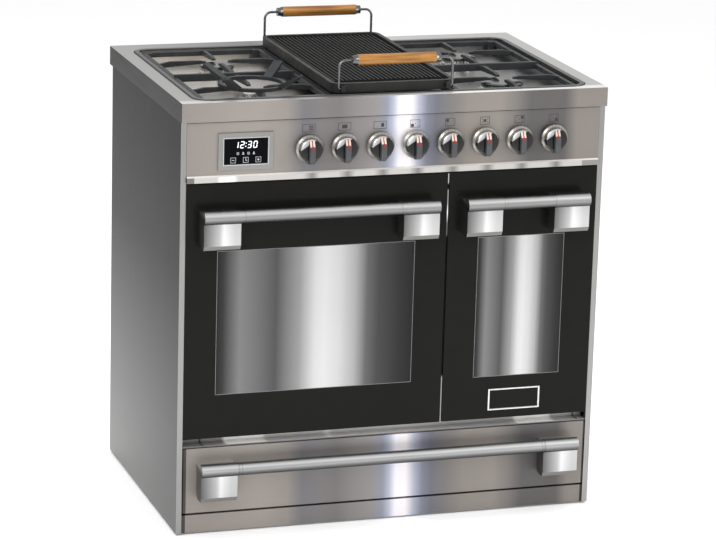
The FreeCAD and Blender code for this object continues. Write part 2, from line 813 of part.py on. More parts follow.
def pan_support(x0, x1, hobs, cross_y):
    """Rounded frame on four legs, cross bars and four fingers round each burner."""
    bar = s.support_bar
    leg = s.support_leg
    corner = s.hob_corner - s.support_gap * 2
    frame_ring = cut(
        round_block(x0, support_y0, bar_bottom, x1, support_y1, bar_top, corner),
        block(x0 + bar, support_y0 + bar, bar_bottom - bar, x1 - bar, support_y1 - bar, bar_top + bar))
    pieces = [frame_ring]
    for y in cross_y:
        pieces.append(block(x0 + bar / 2, y - bar / 2, bar_bottom, x1 - bar / 2, y + bar / 2, support_top))
    for leg_x in (x0 + bar, x1 - bar - leg):
        for leg_y in (support_y0 + bar / 2, support_y1 - bar / 2 - leg):
            pieces.append(block(leg_x, leg_y, tray_floor, leg_x + leg, leg_y + leg, bar_top))
    stops = [support_y0 + bar / 2] + cross_y + [support_y1 - bar / 2]
    for x, y in hobs:
        lower = max((stop for stop in stops if stop.value < y.value), key=lambda stop: stop.value)
        upper = min((stop for stop in stops if stop.value > y.value), key=lambda stop: stop.value)
        pieces.append(finger("x", x0 + bar / 2, x - s.finger_clear, y))
        pieces.append(finger("x", x1 - bar / 2, x + s.finger_clear, y))
        pieces.append(finger("y", lower, y - s.finger_clear, x))
        pieces.append(finger("y", upper, y + s.finger_clear, x))
    return fuse(*pieces)


middle_y = (s.front_burner_y + s.rear_burner_y) / 2
outer_cross = [middle_y]
centre_cross = [middle_y - third / 2, middle_y + third / 2]
edge_in = third / 2 + s.support_gap / 2
edge_mid = third / 2 - s.support_gap / 2
supports = (
    ("left_pan_support", -support_inner, -edge_in, ("front_left", "rear_left"), outer_cross),
    ("centre_pan_support", -edge_mid, edge_mid, ("centre",), centre_cross),
    ("right_pan_support", edge_in, support_inner, ("front_right", "rear_right"), outer_cross),
)
for name, x0, x1, hob_names, cross in supports:
    node(name, pan_support(x0, x1, [burners[key][:2] for key in hob_names], cross))

# Wok ring with four sloping prongs
wok_x, wok_y = burners["front_left"][:2]
wok_z = support_top + s.running_gap
ring_in = s.wok_ring_radius - s.wok_ring_width
prong_tip = s.wok_ring_radius + s.wok_prong_reach
wok_parts = [turned(rectangle(ring_in, ZERO, s.wok_ring_radius, s.wok_ring_height), wok_x, wok_y, wok_z)]
for quarter in range(4):
    prong = prism("XZ_Plane", [[
        (ring_in, ZERO), (s.wok_ring_radius, ZERO), (prong_tip, s.wok_prong_rise),
        (prong_tip - s.metal, s.wok_prong_rise + s.metal * 2),
        (ring_in, s.wok_ring_height)]], ZERO, -s.wok_prong_width / 2, ZERO, s.wok_prong_width)
    spoke = group(prong)
    place(spoke, wok_x, wok_y, wok_z)
    spoke.Placement.Rotation = FreeCAD.Rotation(Z_AXIS, 45 + 90 * quarter)
    wok_parts.append(spoke)
node("wok_ring", fuse(*wok_parts))

# Griddle: rimmed plate, lengthwise ribs, ears for the two bails
griddle_z0 = support_top + s.running_gap
griddle_z1 = griddle_z0 + s.griddle_thick
griddle_y0 = hob_front + (s.hob_depth - s.griddle_length) / 2 + s.griddle_shift
griddle_y1 = griddle_y0 + s.griddle_length
griddle_x = s.griddle_width / 2
well_floor = griddle_z1 - s.griddle_well
plate = round_block(-griddle_x, griddle_y0, griddle_z0, griddle_x, griddle_y1, griddle_z1,
                    s.griddle_corner)
plate_well = round_block(s.griddle_rim - griddle_x, griddle_y0 + s.griddle_rim, well_floor,
                         griddle_x - s.griddle_rim, griddle_y1 - s.griddle_rim, griddle_z1 + s.metal,
                         s.griddle_corner - s.griddle_rim)
rib_count = int((griddle_x.value - s.griddle_rim.value * 2) / s.griddle_rib_pitch.value)
rib_half = s.griddle_rib / 2
rib_root = well_floor - s.metal
rib_top = well_floor + s.griddle_rib_height
ribs = []
for i in range(-rib_count, rib_count + 1):
    rib_x = s.griddle_rib_pitch * i
    ribs.append(prism("XZ_Plane", [[
        (rib_x - rib_half, rib_root), (rib_x + rib_half, rib_root), (rib_x + rib_half, well_floor),
        (rib_x + rib_half / 2, rib_top), (rib_x - rib_half / 2, rib_top), (rib_x - rib_half, well_floor)]],
        ZERO, griddle_y0 + s.griddle_trough, ZERO, s.griddle_length - s.griddle_trough - s.griddle_rim))
bail_z = griddle_z0 + s.griddle_thick / 2
bail_x = s.bail_span / 2
ears = []
ear_holes = []
for side in (-1, 1):
    ear_x = bail_x * side
    for wall, out in ((griddle_y0, -1), (griddle_y1, 1)):
        reach = s.ear_reach * out
        edges = sorted((wall - s.metal * out, wall + reach), key=lambda size: size.value)
        ears.append(block(ear_x - s.ear_width / 2, edges[0], bail_z - s.ear_height / 2,
                          ear_x + s.ear_width / 2, edges[1], bail_z + s.ear_height / 2))
        ear_holes.append(rod("x", ear_x - s.ear_width, wall + reach / 2, bail_z,
                             s.bail_wire + s.running_gap, s.ear_width * 2))
hollow_x = griddle_x - s.griddle_corner
plate_underside = block(-hollow_x, griddle_y0 + s.griddle_corner, griddle_z0 - s.metal,
                        hollow_x, griddle_y1 - s.griddle_corner, griddle_z0 + s.griddle_hollow)
node("griddle_plate", cut(fuse(cut(plate, plate_well), *ribs, *ears), plate_underside, *ear_holes))


def bail(wall, out):
    """Bent wire with inturned ends in the griddle's ears, and a turned wooden grip on its top."""
    end = s.bail_span / 2 - s.ear_width / 2
    outer = s.bail_span / 2 + s.ear_width
    grip_y = wall + s.ear_reach * out / 2
    grip_z = bail_z + s.bail_height
    bent = bent_tube(
        [(-end, grip_y, bail_z), (-outer, grip_y, bail_z), (-outer, grip_y, grip_z),
         (outer, grip_y, grip_z), (outer, grip_y, bail_z), (end, grip_y, bail_z)],
        s.bail_wire, [s.bail_wire * 2, s.bail_bend, s.bail_bend, s.bail_wire * 2])
    waist = s.grip_waist
    grip = turned([
        (s.bail_wire + s.running_gap / 3, ZERO), (waist, ZERO), (waist, s.grip_radius / 2),
        (s.grip_radius, s.grip_radius), (s.grip_radius, s.grip_length - s.grip_radius),
        (waist, s.grip_length - s.grip_radius / 2), (waist, s.grip_length),
        (s.bail_wire + s.running_gap / 3, s.grip_length)],
        -s.grip_length / 2, grip_y, grip_z, "x")
    return group(bent, grip)


node("griddle_front_bail", bail(griddle_y0, -1))
node("griddle_rear_bail", bail(griddle_y1, 1))


# Doors
def handle(x0, x1, bar_z):
    """Tube between two polished end blocks that carry it off the door."""
    bar_y = front - s.handle_reach + s.handle_boss_radius
    flat = front - s.handle_block_depth
    bottom = bar_z - s.handle_block_drop
    wall = s.handle_wall
    pieces = [rod("x", x0, bar_y, bar_z, s.handle_bar_radius, x1 - x0)]
    hollows = [rod("x", x0 + wall, bar_y, bar_z, s.handle_bar_radius - wall, x1 - x0 - wall * 2)]
    for start in (x0, x1 - s.handle_block_width):
        pieces.append(rod("x", start, bar_y, bar_z, s.handle_boss_radius, s.handle_block_width))
        pieces.append(prism("YZ_Plane", [[
            (front, bar_z + s.handle_bar_radius / 2), (front, bottom + s.handle_bevel),
            (front - s.handle_bevel, bottom), (flat + s.handle_bevel / 2, bottom),
            (flat, bottom + s.handle_bevel), (flat, bar_z), (bar_y, bar_z + s.handle_bar_radius / 2)]],
            start, ZERO, ZERO, s.handle_block_width))
        hollows.append(block(start + wall, flat + wall, bottom + s.handle_bevel + wall,
                             start + s.handle_block_width - wall, front + wall, bar_z))
    return cut(fuse(*pieces), *hollows)


def door(side, door_x):
    """Outer glass, hollow inner frame, inner glass, handle and hinge blocks with pins."""
    x0, x1 = door_x
    window_x0 = x0 + s.window_frame
    window_x1 = x1 - s.window_frame
    glass_back = front + s.glass_thick
    inner_front = front + s.door_thick - s.inner_glass_thick
    node(side + "_door_glass", block(x0, front, s.door_bottom, x1, glass_back, door_top))
    frame_x0 = x0 + s.frame_inset
    frame_x1 = x1 - s.frame_inset
    frame_z0 = s.door_bottom + s.metal
    frame_z1 = door_top - s.metal
    wall = s.metal
    pin_radius = s.hinge_pin_radius
    hinges = []
    pin_holes = []
    pin_length = s.hinge_pin_out + wall * 2
    block_x = (frame_x0 + wall, frame_x1 - wall - s.hinge_block)
    pin_x = (frame_x0 - s.hinge_pin_out, frame_x1 - wall * 2)
    for start, pin_start in zip(block_x, pin_x):
        hinge_block = block(start, glass_back, frame_z0 + wall,
                            start + s.hinge_block, inner_front - wall, frame_z0 + wall + s.hinge_block)
        pin = rod("x", pin_start, hinge_y, hinge_z, pin_radius, pin_length)
        hinges.append(fuse(hinge_block, pin))
        pin_holes.append(rod("x", pin_start - wall, hinge_y, hinge_z, pin_radius + s.running_gap / 3,
                             pin_length + wall * 2))
    window = block(window_x0, front, window_bottom, window_x1, front + s.door_thick, window_top)
    tray = cut(
        block(frame_x0, glass_back, frame_z0, frame_x1, inner_front, frame_z1),
        block(frame_x0 + wall, front, frame_z0 + wall,
              frame_x1 - wall, inner_front - wall, frame_z1 - wall))
    node(side + "_door_frame", cut(tray, window, *pin_holes))
    node(side + "_door_hinges", group(*hinges))
    lap = s.inner_glass_lap
    node(side + "_door_inner_glass", block(
        window_x0 - lap, inner_front, window_bottom - lap,
        window_x1 + lap, front + s.door_thick, window_top + lap))
    node(side + "_door_handle", handle(
        x0 + s.handle_end_gap, x1 - s.handle_end_gap, door_top - s.door_handle_drop))


door("left", left_door_x)
door("right", right_door_x)

# Drawer
drawer_x = flange_x - s.metal
drawer_back = front + s.drawer_front_thick
box_x = inner_x - s.drawer_box_side
box_rear = drawer_back + s.drawer_box_depth
node("drawer_front", cut(
    block(-drawer_x, front, s.drawer_bottom, drawer_x, drawer_back, s.drawer_top),
    block(s.metal - drawer_x, front + s.metal, s.drawer_bottom - s.metal,
          drawer_x - s.metal, drawer_back - s.metal, s.drawer_top - s.metal)))
box_shell = cut(
    block(-box_x, drawer_back, s.drawer_box_bottom, box_x, box_rear, s.drawer_box_top),
    block(s.drawer_wall - box_x, drawer_back + s.drawer_wall, s.drawer_box_bottom + s.drawer_wall,
          box_x - s.drawer_wall, box_rear - s.drawer_wall, s.drawer_box_top + s.drawer_wall))
runners = []
runner_top = s.runner_height + s.runner_thick
for x0, x1 in ((-box_x - s.runner_width, -box_x), (box_x, box_x + s.runner_width)):
    runners.append(block(x0, drawer_back, s.runner_height, x1, box_rear, runner_top))
node("drawer_box", fuse(box_shell, *runners))
node("drawer_handle", handle(
    s.handle_end_gap - drawer_x, drawer_x - s.handle_end_gap, s.drawer_top - s.drawer_handle_drop))


def drawer_rail():
    """Channel under and over the drawer's runner, hung from the side panel."""
    inner = box_x + s.running_gap * 2
    web = box_x + s.runner_width + s.running_gap * 2
    low = s.runner_height - s.running_gap
    high = runner_top + s.running_gap
    loop = [
        (inner, low), (inner, low - s.metal), (inner_x, low - s.metal), (inner_x, high + s.metal),
        (inner, high + s.metal), (inner, high), (web, high), (web, low)]
    return prism("XZ_Plane", [loop], ZERO, front + s.flange_return * 2, ZERO,
                 s.drawer_box_depth + s.flange_return)


node("drawer_rails", group(drawer_rail(), mirrored(drawer_rail())))


# Ovens
oven_y = frame_back
oven_back = oven_y + s.oven_depth


def liner(mouth_x, *holes):
    """Enamelled open-fronted box behind a mouth of the front frame."""
    x0, x1 = mouth_x
    wall = s.oven_wall
    shell_box = block(x0 - wall, oven_y, mouth_bottom - wall, x1 + wall, oven_back + wall, mouth_top + wall)
    cavity = block(x0, oven_y - wall, mouth_bottom, x1, oven_back, mouth_top)
    return cut(shell_box, cavity, *holes)


fan_x = (left_mouth[0] + left_mouth[1]) / 2
fan_z = (mouth_bottom + mouth_top) / 2
shaft_hole = rod("y", fan_x, oven_back - s.oven_wall, fan_z, s.fan_shaft + s.running_gap * 2,
                 s.oven_wall * 3)
node("left_oven_liner", liner(left_mouth, shaft_hole))
node("right_oven_liner", liner(right_mouth))

baffle_y = oven_back - s.baffle_gap
grille = [rod("y", fan_x, baffle_y - s.metal, fan_z, s.fan_hub, s.metal * 3)]
for ring_radius, count in ((s.grille_inner, 8), (s.grille_outer, 14)):
    for i in range(count):
        angle = 2 * math.pi * i / count
        grille.append(rod("y", fan_x + ring_radius * math.cos(angle), baffle_y - s.metal,
                          fan_z + ring_radius * math.sin(angle), s.fan_hub / 2, s.metal * 3))
baffle_half = (left_mouth[1] - left_mouth[0]) / 2 - s.mouth_margin / 2
baffle_z0 = mouth_bottom + s.mouth_margin / 2
baffle_z1 = mouth_top - s.mouth_margin / 2
baffle_face = block(fan_x - baffle_half, baffle_y, baffle_z0,
                    fan_x + baffle_half, baffle_y + s.metal, baffle_z1)
legs = []
for leg_x in (fan_x - baffle_half, fan_x + baffle_half - s.metal):
    legs.append(block(leg_x, baffle_y, baffle_z0, leg_x + s.metal, oven_back, baffle_z1))
node("fan_baffle", cut(fuse(baffle_face, *legs), *grille))

fan_front = baffle_y + s.metal + (s.baffle_gap - s.metal - s.fan_depth) / 2
fan_disc = rod("y", fan_x, fan_front + s.fan_depth - s.metal, fan_z, s.fan_radius, s.metal)
fan_hub = rod("y", fan_x, fan_front, fan_z, s.fan_hub, s.fan_depth)
fan_shaft = rod("y", fan_x, fan_front + s.fan_depth - s.metal, fan_z, s.fan_shaft,
                oven_back + s.oven_wall + s.fan_shaft * 3 - fan_front - s.fan_depth)
blades = []
blade_count = int(s.fan_blades.value)
blade_tip = s.fan_radius - s.metal
for i in range(blade_count):
    blade = prism("XZ_Plane", [rectangle(blade_tip - s.blade_length, ZERO, blade_tip, s.metal)],
                  ZERO, ZERO, ZERO, s.fan_depth)
    vane = group(blade)
    place(vane, fan_x, fan_front, fan_z)
    vane.Placement.Rotation = FreeCAD.Rotation(FreeCAD.Vector(0, 1, 0), 360 * i / blade_count)
    blades.append(vane)
node("fan_impeller", fuse(fan_disc, fan_hub, fan_shaft, *blades))

motor_y = oven_back + s.oven_wall
motor_bore = rod("y", fan_x, motor_y - s.metal, fan_z, s.fan_shaft + s.running_gap,
                 s.motor_length - s.metal * 4)
motor_flange = block(fan_x - s.motor_flange, motor_y, fan_z - s.motor_radius / 2,
                     fan_x + s.motor_flange, motor_y + s.metal, fan_z + s.motor_radius / 2)
motor_can = rod("y", fan_x, motor_y, fan_z, s.motor_radius, s.motor_length)
node("fan_motor", cut(fuse(motor_can, motor_flange), motor_bore))


def grill_element(mouth_x):
    """Two long bars joined at the front, with their ends in the rear wall."""
    x0, x1 = mouth_x
    z = mouth_top - s.mouth_margin / 4
    inset = s.mouth_margin
    y0 = oven_y + inset
    bend = s.element_radius * 4
    return bent_tube(
        [(x0 + inset, oven_back, z), (x0 + inset, y0, z),
         (x1 - inset, y0, z), (x1 - inset, oven_back, z)],
        s.element_radius, [bend, bend])


ring_y = (baffle_y + s.metal + oven_back) / 2
ring_stub = rod("y", fan_x + s.ring_element, ring_y, fan_z, s.ring_stub, oven_back - ring_y)
fan_ring = fuse(ring("y", fan_x, ring_y, fan_z, s.ring_element, s.element_radius), ring_stub)
node("heating_elements", group(grill_element(left_mouth), grill_element(right_mouth), fan_ring))


RACK_BARS = 13


def oven_rack(mouth_x):
    """Wire shelf with its side ladders on the oven walls."""
    x0, x1 = mouth_x
    wire = s.rack_wire
    gap = s.rack_side_gap
    y0 = oven_y + s.mouth_margin / 2
    y1 = baffle_y - s.mouth_margin / 2
    z = mouth_bottom + s.rack_height
    length = y1 - y0
    parts = []
    for side_x, wall_x in ((x0 + gap, x0), (x1 - gap, x1)):
        parts.append(rod("y", side_x, y0, z, wire, length))
        post_x = (side_x + wall_x) / 2
        for post_y in (y0 + gap, y1 - gap):
            parts.append(block(post_x - gap / 2, post_y - wire, z - s.rack_height / 2,
                               post_x + gap / 2, post_y + wire, z + s.rack_height))
    for i in range(RACK_BARS):
        bar_y = y0 + length * (i / (RACK_BARS - 1))
        parts.append(rod("x", x0 + gap, bar_y, z, wire, x1 - x0 - gap * 2))
    return fuse(*parts)


node("oven_racks", group(oven_rack(left_mouth), oven_rack(right_mouth)))

# Mains terminal box at the rear with its cable gland hole underneath
terminal_x = -inlet_x
terminal_z = knob_z - s.terminal_height
node("terminal_box", cut(
    block(terminal_x - s.terminal_width / 2, rear_y, terminal_z,
          terminal_x + s.terminal_width / 2, rear_y + s.terminal_depth, terminal_z + s.terminal_height),
    rod("z", terminal_x, rear_y + s.terminal_depth / 2, terminal_z - s.metal, s.gland_radius,
        s.gland_depth + s.metal)))

doc.recompute()
faults = [item.Label for item in doc.Objects if "Invalid" in item.State or "Error" in item.State]
faults += [item.Label for item in nodes if item.Shape.isNull() or not item.Shape.isValid()]
if faults:
    raise RuntimeError("failed pieces: " + ", ".join(faults))

os.makedirs("parts", exist_ok=True)
for item in nodes:
    item.Shape.exportStep("parts/%s.step" % item.Label)
print("wrote", len(nodes), "pieces")
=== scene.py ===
import math

import bmesh
import bpy
from mathutils import Matrix, Vector


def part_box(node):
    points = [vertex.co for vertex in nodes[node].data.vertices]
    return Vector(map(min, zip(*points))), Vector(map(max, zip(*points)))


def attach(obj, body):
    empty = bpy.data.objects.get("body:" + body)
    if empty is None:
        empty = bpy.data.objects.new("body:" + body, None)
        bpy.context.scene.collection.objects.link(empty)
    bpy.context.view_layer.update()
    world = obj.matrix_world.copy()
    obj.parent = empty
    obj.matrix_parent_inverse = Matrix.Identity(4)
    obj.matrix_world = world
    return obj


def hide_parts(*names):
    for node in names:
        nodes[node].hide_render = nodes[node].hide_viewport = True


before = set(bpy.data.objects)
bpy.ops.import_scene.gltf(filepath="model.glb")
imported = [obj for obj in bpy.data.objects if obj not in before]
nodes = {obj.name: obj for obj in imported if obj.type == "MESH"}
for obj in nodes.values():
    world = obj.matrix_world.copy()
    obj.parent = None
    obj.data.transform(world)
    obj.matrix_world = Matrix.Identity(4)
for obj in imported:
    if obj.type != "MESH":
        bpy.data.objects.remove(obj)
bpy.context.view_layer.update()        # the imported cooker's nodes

# Freestanding range cooker: a finish for every imported node, and the trim that only shows.
# Metres, +Z up, front at -Y, the same frame as the imported model.

MM = 0.001
SIDES = ("left", "right")
BURNER_COUNT = 5
OVEN_KNOBS = ("oven_function_knob", "main_oven_knob", "small_oven_knob")
BURNER_KNOBS = tuple("burner_knob_%d" % number for number in range(1, BURNER_COUNT + 1))
TAP_PLUGS = tuple("tap_plug_%d" % number for number in range(1, BURNER_COUNT + 1))
KNOBS = OVEN_KNOBS + BURNER_KNOBS

# Main places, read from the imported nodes
tray_low, tray_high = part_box("hob_tray")
top_low, top_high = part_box("hob_surround")
timer_low, timer_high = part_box("timer_module")
door_low, door_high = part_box("left_door_glass")
half_width = top_high.x
door_front = door_low.y
timer_middle = (timer_low + timer_high) / 2
tray_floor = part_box("centre_pan_support")[0].z      # the pan supports stand on it

# Directions, and the share of a face's normal along one of them where it looks that way:
# with its bevels, without them, and squarely
RIGHT, BACK, UP = Vector((1, 0, 0)), Vector((0, 1, 0)), Vector((0, 0, 1))
FACING, FLAT, SQUARE = 0.7, 0.9, 0.99

# Lengths of a knob ahead of the panel, in mm: to the front of its skirt, its cap and its grip
KNOB_SKIRT, KNOB_CAP, KNOB_GRIP = 14, 24, 34
CAP_RADIUS = 23.5 * MM

# Handles: height of the tube, and width of the plate under each of its ends
TUBE_HEIGHT = 28.4 * MM
PLATE_WIDTH = 76 * MM


def knob_middle(name):
    """Place of a knob's axis along the panel and its height."""
    low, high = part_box(name)
    return (low.x + high.x) / 2, (low.z + high.z) / 2


# Colour sockets of a Mix node, whose other kinds have sockets of the same names
MIX_FIRST, MIX_SECOND, MIX_RESULT = 6, 7, 2


def scaled(colour, factor):
    return tuple(part * factor for part in colour)


class Finish:
    """A procedural finish put together on one shader."""

    def __init__(self, name, colour, metallic, roughness, **sockets):
        self.material = bpy.data.materials.new(name)
        self.material.use_nodes = True
        self.tree = self.material.node_tree
        self.shader = self.tree.nodes["Principled BSDF"]
        values = {"Base Color": (*colour, 1.0), "Metallic": metallic, "Roughness": roughness}
        values.update({key.replace("_", " "): value for key, value in sockets.items()})
        for key, value in values.items():
            self.shader.inputs[key].default_value = value

    def add(self, kind, values=None, **settings):
        """A new node with its settings, and constants on its sockets."""
        item = self.tree.nodes.new("ShaderNode" + kind)
        for key, value in settings.items():
            setattr(item, key, value)
        for key, value in (values or {}).items():
            item.inputs[key].default_value = value
        return item

    def link(self, source, target):
        self.tree.links.new(source, target)

    def place(self, values=None, **settings):
        """Object coordinates through a mapping."""
        coords = self.add("TexCoord")
        mapping = self.add("Mapping", values, **settings)
        self.link(coords.outputs["Object"], mapping.inputs["Vector"])
        return mapping.outputs["Vector"]

    def along(self, vector, letter, start, end):
        """0 to 1 from start to end along one axis of a vector."""
        split = self.add("SeparateXYZ")
        self.link(vector, split.inputs["Vector"])
        return self.spread(split.outputs[letter], 0, 1, start, end)

    def axis(self, letter, start, end):
        """0 to 1 along one axis of the object."""
        return self.along(self.place(), letter, start, end)

    def width(self):
        """0 to 1 from the cooker's left side to its right."""
        return self.axis("X", -half_width, half_width)

    def slant(self, middle, turn, reach):
        """0 to 1 along a line through a middle point, turned about Y from upright."""
        turned = self.place({"Location": middle, "Rotation": (0, turn, 0)}, vector_type="TEXTURE")
        return self.along(turned, "Z", -reach, reach)

    def noise(self, scale, stretch=(1, 1, 1), detail=4.0):
        """Noise over the object, stretched along its axes."""
        item = self.add("TexNoise", {"Scale": scale, "Detail": detail})
        self.link(self.place({"Scale": stretch}), item.inputs["Vector"])
        return item.outputs["Fac"]

    def spread(self, fac, low, high, start=0.25, end=0.75):
        """A factor from start to end, spread over low to high."""
        item = self.add("MapRange", {"From Min": start, "From Max": end, "To Min": low, "To Max": high})
        self.link(fac, item.inputs["Value"])
        return item.outputs["Result"]

    def ramp(self, fac, stops, steps=False):
        """Colours, or greys, by place along 0 to 1, blended or in hard steps."""
        item = self.add("ValToRGB")
        item.color_ramp.interpolation = "CONSTANT" if steps else "LINEAR"
        self.link(fac, item.inputs["Fac"])
        elements = item.color_ramp.elements
        while len(elements) < len(stops):
            elements.new(1.0)
        for element, (at, shade) in zip(elements, stops):
            element.position = at
            element.color = (*shade, 1.0) if isinstance(shade, tuple) else (shade, shade, shade, 1.0)
        return item.outputs["Color"]

    def mottle(self, shade, scale, dark, light, reach=0.2):
        """Cloudy change of a shade between two factors; a longer reach is softer."""
        stops = ((0.5 - reach, scaled(shade, dark)), (0.5 + reach, scaled(shade, light)))
        return self.ramp(self.noise(scale), stops)

    def product(self, first, *others):
        """Colours multiplied together."""
        for other in others:
            item = self.add("Mix", {"Factor": 1.0}, data_type="RGBA", blend_type="MULTIPLY")
            self.link(first, item.inputs[MIX_FIRST])
            self.link(other, item.inputs[MIX_SECOND])
            first = item.outputs[MIX_RESULT]
        return first

    def colour(self, *outputs):
        self.link(self.product(*outputs), self.shader.inputs["Base Color"])

    def rough(self, fac, low, high):
        self.link(self.spread(fac, low, high), self.shader.inputs["Roughness"])

    def bump(self, fac, distance, strength=0.25):
        item = self.add("Bump", {"Strength": strength, "Distance": distance})
        self.link(fac, item.inputs["Height"])
        self.link(item.outputs["Normal"], self.shader.inputs["Normal"])


# Painted reflection: soft lamp bands painted into the brushed sheet's colour across its grain:
# place from the middle in mm, brightness, coolness
PAINTED_LAMP_BANDS = (
    (-450, 0.80, 0.00), (-340, 0.93, 0.00), (-290, 0.95, 0.00), (-232, 0.84, 0.05), (-200, 0.56, 0.45),
    (-160, 0.60, 0.30), (-126, 0.56, 0.25), (-92, 0.72, 0.25), (-52, 0.84, 0.20), (-26, 0.92, 0.90),
    (-12, 1.50, 0.95), (2, 2.70, 0.50), (24, 2.70, 0.30), (42, 1.40, 0.90), (60, 0.72, 1.00),
    (80, 0.52, 0.80), (112, 0.60, 0.15), (148, 0.76, 0.00), (216, 0.80, 0.00), (248, 0.62, 0.10),
    (282, 0.36, 0.30), (358, 0.36, 0.20), (384, 0.68, 0.00), (450, 0.67, 0.00),
)
# Lean of the painted lamp bands from upright, the warm and the cool shade that a painted band blends between,
# and the brightest that it gets
BAND_LEAN = math.radians(1.25)
STEEL_SHADE = (0.330, 0.299, 0.274)
COOL_SHADE = (0.285, 0.301, 0.370)
BRIGHTEST = 0.97

# Share of its reflection that a dark sheet keeps at a grazing view
GRAZING_TINT = (0.65, 0.65, 0.65, 1.0)

# Stretch of the brush lines by the axis that they run along
ALONG_X, ALONG_Y, ALONG_Z = (7, 900, 900), (600, 7, 600), (600, 600, 7)


def across(place):
    """Place from the middle in mm as a share of the cooker's width, 0 to 1."""
    return place * MM / (2 * half_width) + 0.5


def band_stops():
    """The painted lamp bands as ramp stops over the cooker's width."""
    stops = []
    for place, bright, cool in PAINTED_LAMP_BANDS:
        shade = [warm + (chill - warm) * cool for warm, chill in zip(STEEL_SHADE, COOL_SHADE)]
        stops.append((across(place), tuple(min(part * bright, BRIGHTEST) for part in shade)))
    return stops


def brushed(finish, stretch, low, high, depth):
    """Fine brush lines: brightness, roughness and relief."""
    lines = finish.noise(1.0, stretch, 6.0)
    finish.rough(lines, low, high)
    finish.bump(lines, depth)
    return finish.ramp(finish.spread(lines, 0, 1), ((0.0, 0.95), (1.0, 1.04)))


def front_steel_painted_bands(name, end=None):
    """Brushed sheet with its grain along X and painted reflections of lamp bands across it.

    Where an end is given, as a place in mm, the sheet is dark past it on both sides: painted shade of the gap
    at each end.
    """
    finish = Finish(name, STEEL_SHADE, 0.6, 0.52, Anisotropic=0.3)
    lines = brushed(finish, (6, 1500, 1500), 0.46, 0.58, 0.05 * MM)
    # Painted reflection: the lamp bands, leaning a little with height
    width = finish.slant((0, 0, top_high.z), math.pi / 2 - BAND_LEAN, half_width)
    layers = [finish.ramp(width, band_stops()), lines]
    if end:
        # painted shade of the gap past each end
        stops = ((0.0, 0.22), (across(-end), 1.0), (across(end), 0.22))
        layers.append(finish.ramp(finish.width(), stops, steps=True))
    finish.colour(*layers)
    return finish.material


def satin_steel(name, shade, stretch=ALONG_X, low=0.26, high=0.4, metallic=1.0, **sockets):
    """Plain brushed sheet."""
    finish = Finish(name, shade, metallic, 0.32, Anisotropic=0.4, **sockets)
    lines = brushed(finish, stretch, low, high, 0.04 * MM)
    finish.colour(finish.mottle(shade, 3.0, 0.94, 1.05, 0.3), lines)
    return finish.material


def side_steel_painted_shade():
    """Vertical side sheet with painted shade: darker towards the top and the front."""
    finish = Finish("side_sheet_painted_shade", (0.12, 0.12, 0.122), 1.0, 0.42, Specular_Tint=GRAZING_TINT)
    lines = brushed(finish, (700, 900, 5), 0.4, 0.48, 0.03 * MM)
    # painted shade: darker up the sheet, and towards its front
    tall = finish.ramp(finish.axis("Z", 0.0, top_low.z), (
        (0.0, (0.28, 0.28, 0.277)), (0.35, (0.17, 0.17, 0.17)),
        (0.65, (0.075, 0.075, 0.076)), (1.0, (0.050, 0.050, 0.052))))
    deep = finish.ramp(finish.axis("Y", top_low.y, top_high.y), ((0.0, 0.82), (1.0, 1.4)))
    finish.colour(tall, deep, lines)
    return finish.material


def worktop_steel_painted_sheen():
    """Satin rim of the worktop with painted sheen: brighter towards the right and along its front strip."""
    finish = Finish("worktop_satin_steel_painted_sheen", (0.4, 0.39, 0.375), 0.65, 0.32, Anisotropic=0.4)
    lines = brushed(finish, ALONG_X, 0.26, 0.36, 0.05 * MM)
    # painted sheen across the width, then brighter along the front strip
    sheen = finish.ramp(finish.width(), (
        (0.0, (0.62, 0.615, 0.595)), (0.16, (0.50, 0.495, 0.48)), (0.34, (0.26, 0.257, 0.25)),
        (0.52, (0.90, 0.885, 0.86)), (0.62, (0.94, 0.925, 0.89)), (0.8, (0.80, 0.79, 0.76)),
        (1.0, (0.80, 0.79, 0.76))))
    deep = finish.ramp(finish.axis("Y", top_low.y, top_high.y), ((0.03, 1.0), (0.05, 0.55)))
    finish.colour(sheen, deep, lines)
    return finish.material


def tray_steel_painted_sheen():
    """Satin pressed tray with painted sheen: warm and light on its left, greyer towards its right, and
    lighter towards its back.
    """
    finish = Finish("hob_tray_steel_painted_sheen", (0.6, 0.59, 0.57), 1.0, 0.3, Anisotropic=0.3)
    lines = brushed(finish, (6, 700, 700), 0.26, 0.34, 0.01 * MM)
    # painted sheen: lighter to the left and towards the back
    sheen = finish.ramp(finish.axis("X", tray_low.x, tray_high.x), (
        (0.0, (0.74, 0.70, 0.65)), (0.3, (0.66, 0.63, 0.59)),
        (0.7, (0.40, 0.395, 0.385)), (1.0, (0.34, 0.34, 0.34))))
    deep = finish.ramp(finish.axis("Y", tray_low.y, tray_high.y), ((0.0, 0.85), (1.0, 1.2)))
    finish.colour(sheen, deep, lines)
    return finish.material


def gap_painted_reflections():
    """Polished strip deep between the doors with painted reflections: dark along its middle, lit near both
    ends.
    """
    finish = Finish("door_gap_polish_painted_reflections", (0.3, 0.3, 0.3), 1.0, 0.16)
    finish.rough(finish.noise(60.0), 0.12, 0.2)
    # painted reflections up the strip
    finish.colour(finish.ramp(finish.axis("Z", door_low.z, door_high.z), (
        (0.0, 0.26), (0.18, 0.26), (0.19, 0.006), (0.745, 0.006), (0.755, 0.11), (0.80, 0.13), (0.845, 0.88),
        (0.88, 0.30), (0.93, 0.30), (0.935, 0.006), (0.955, 0.006), (0.96, 0.45), (1.0, 0.45))))
    return finish.material


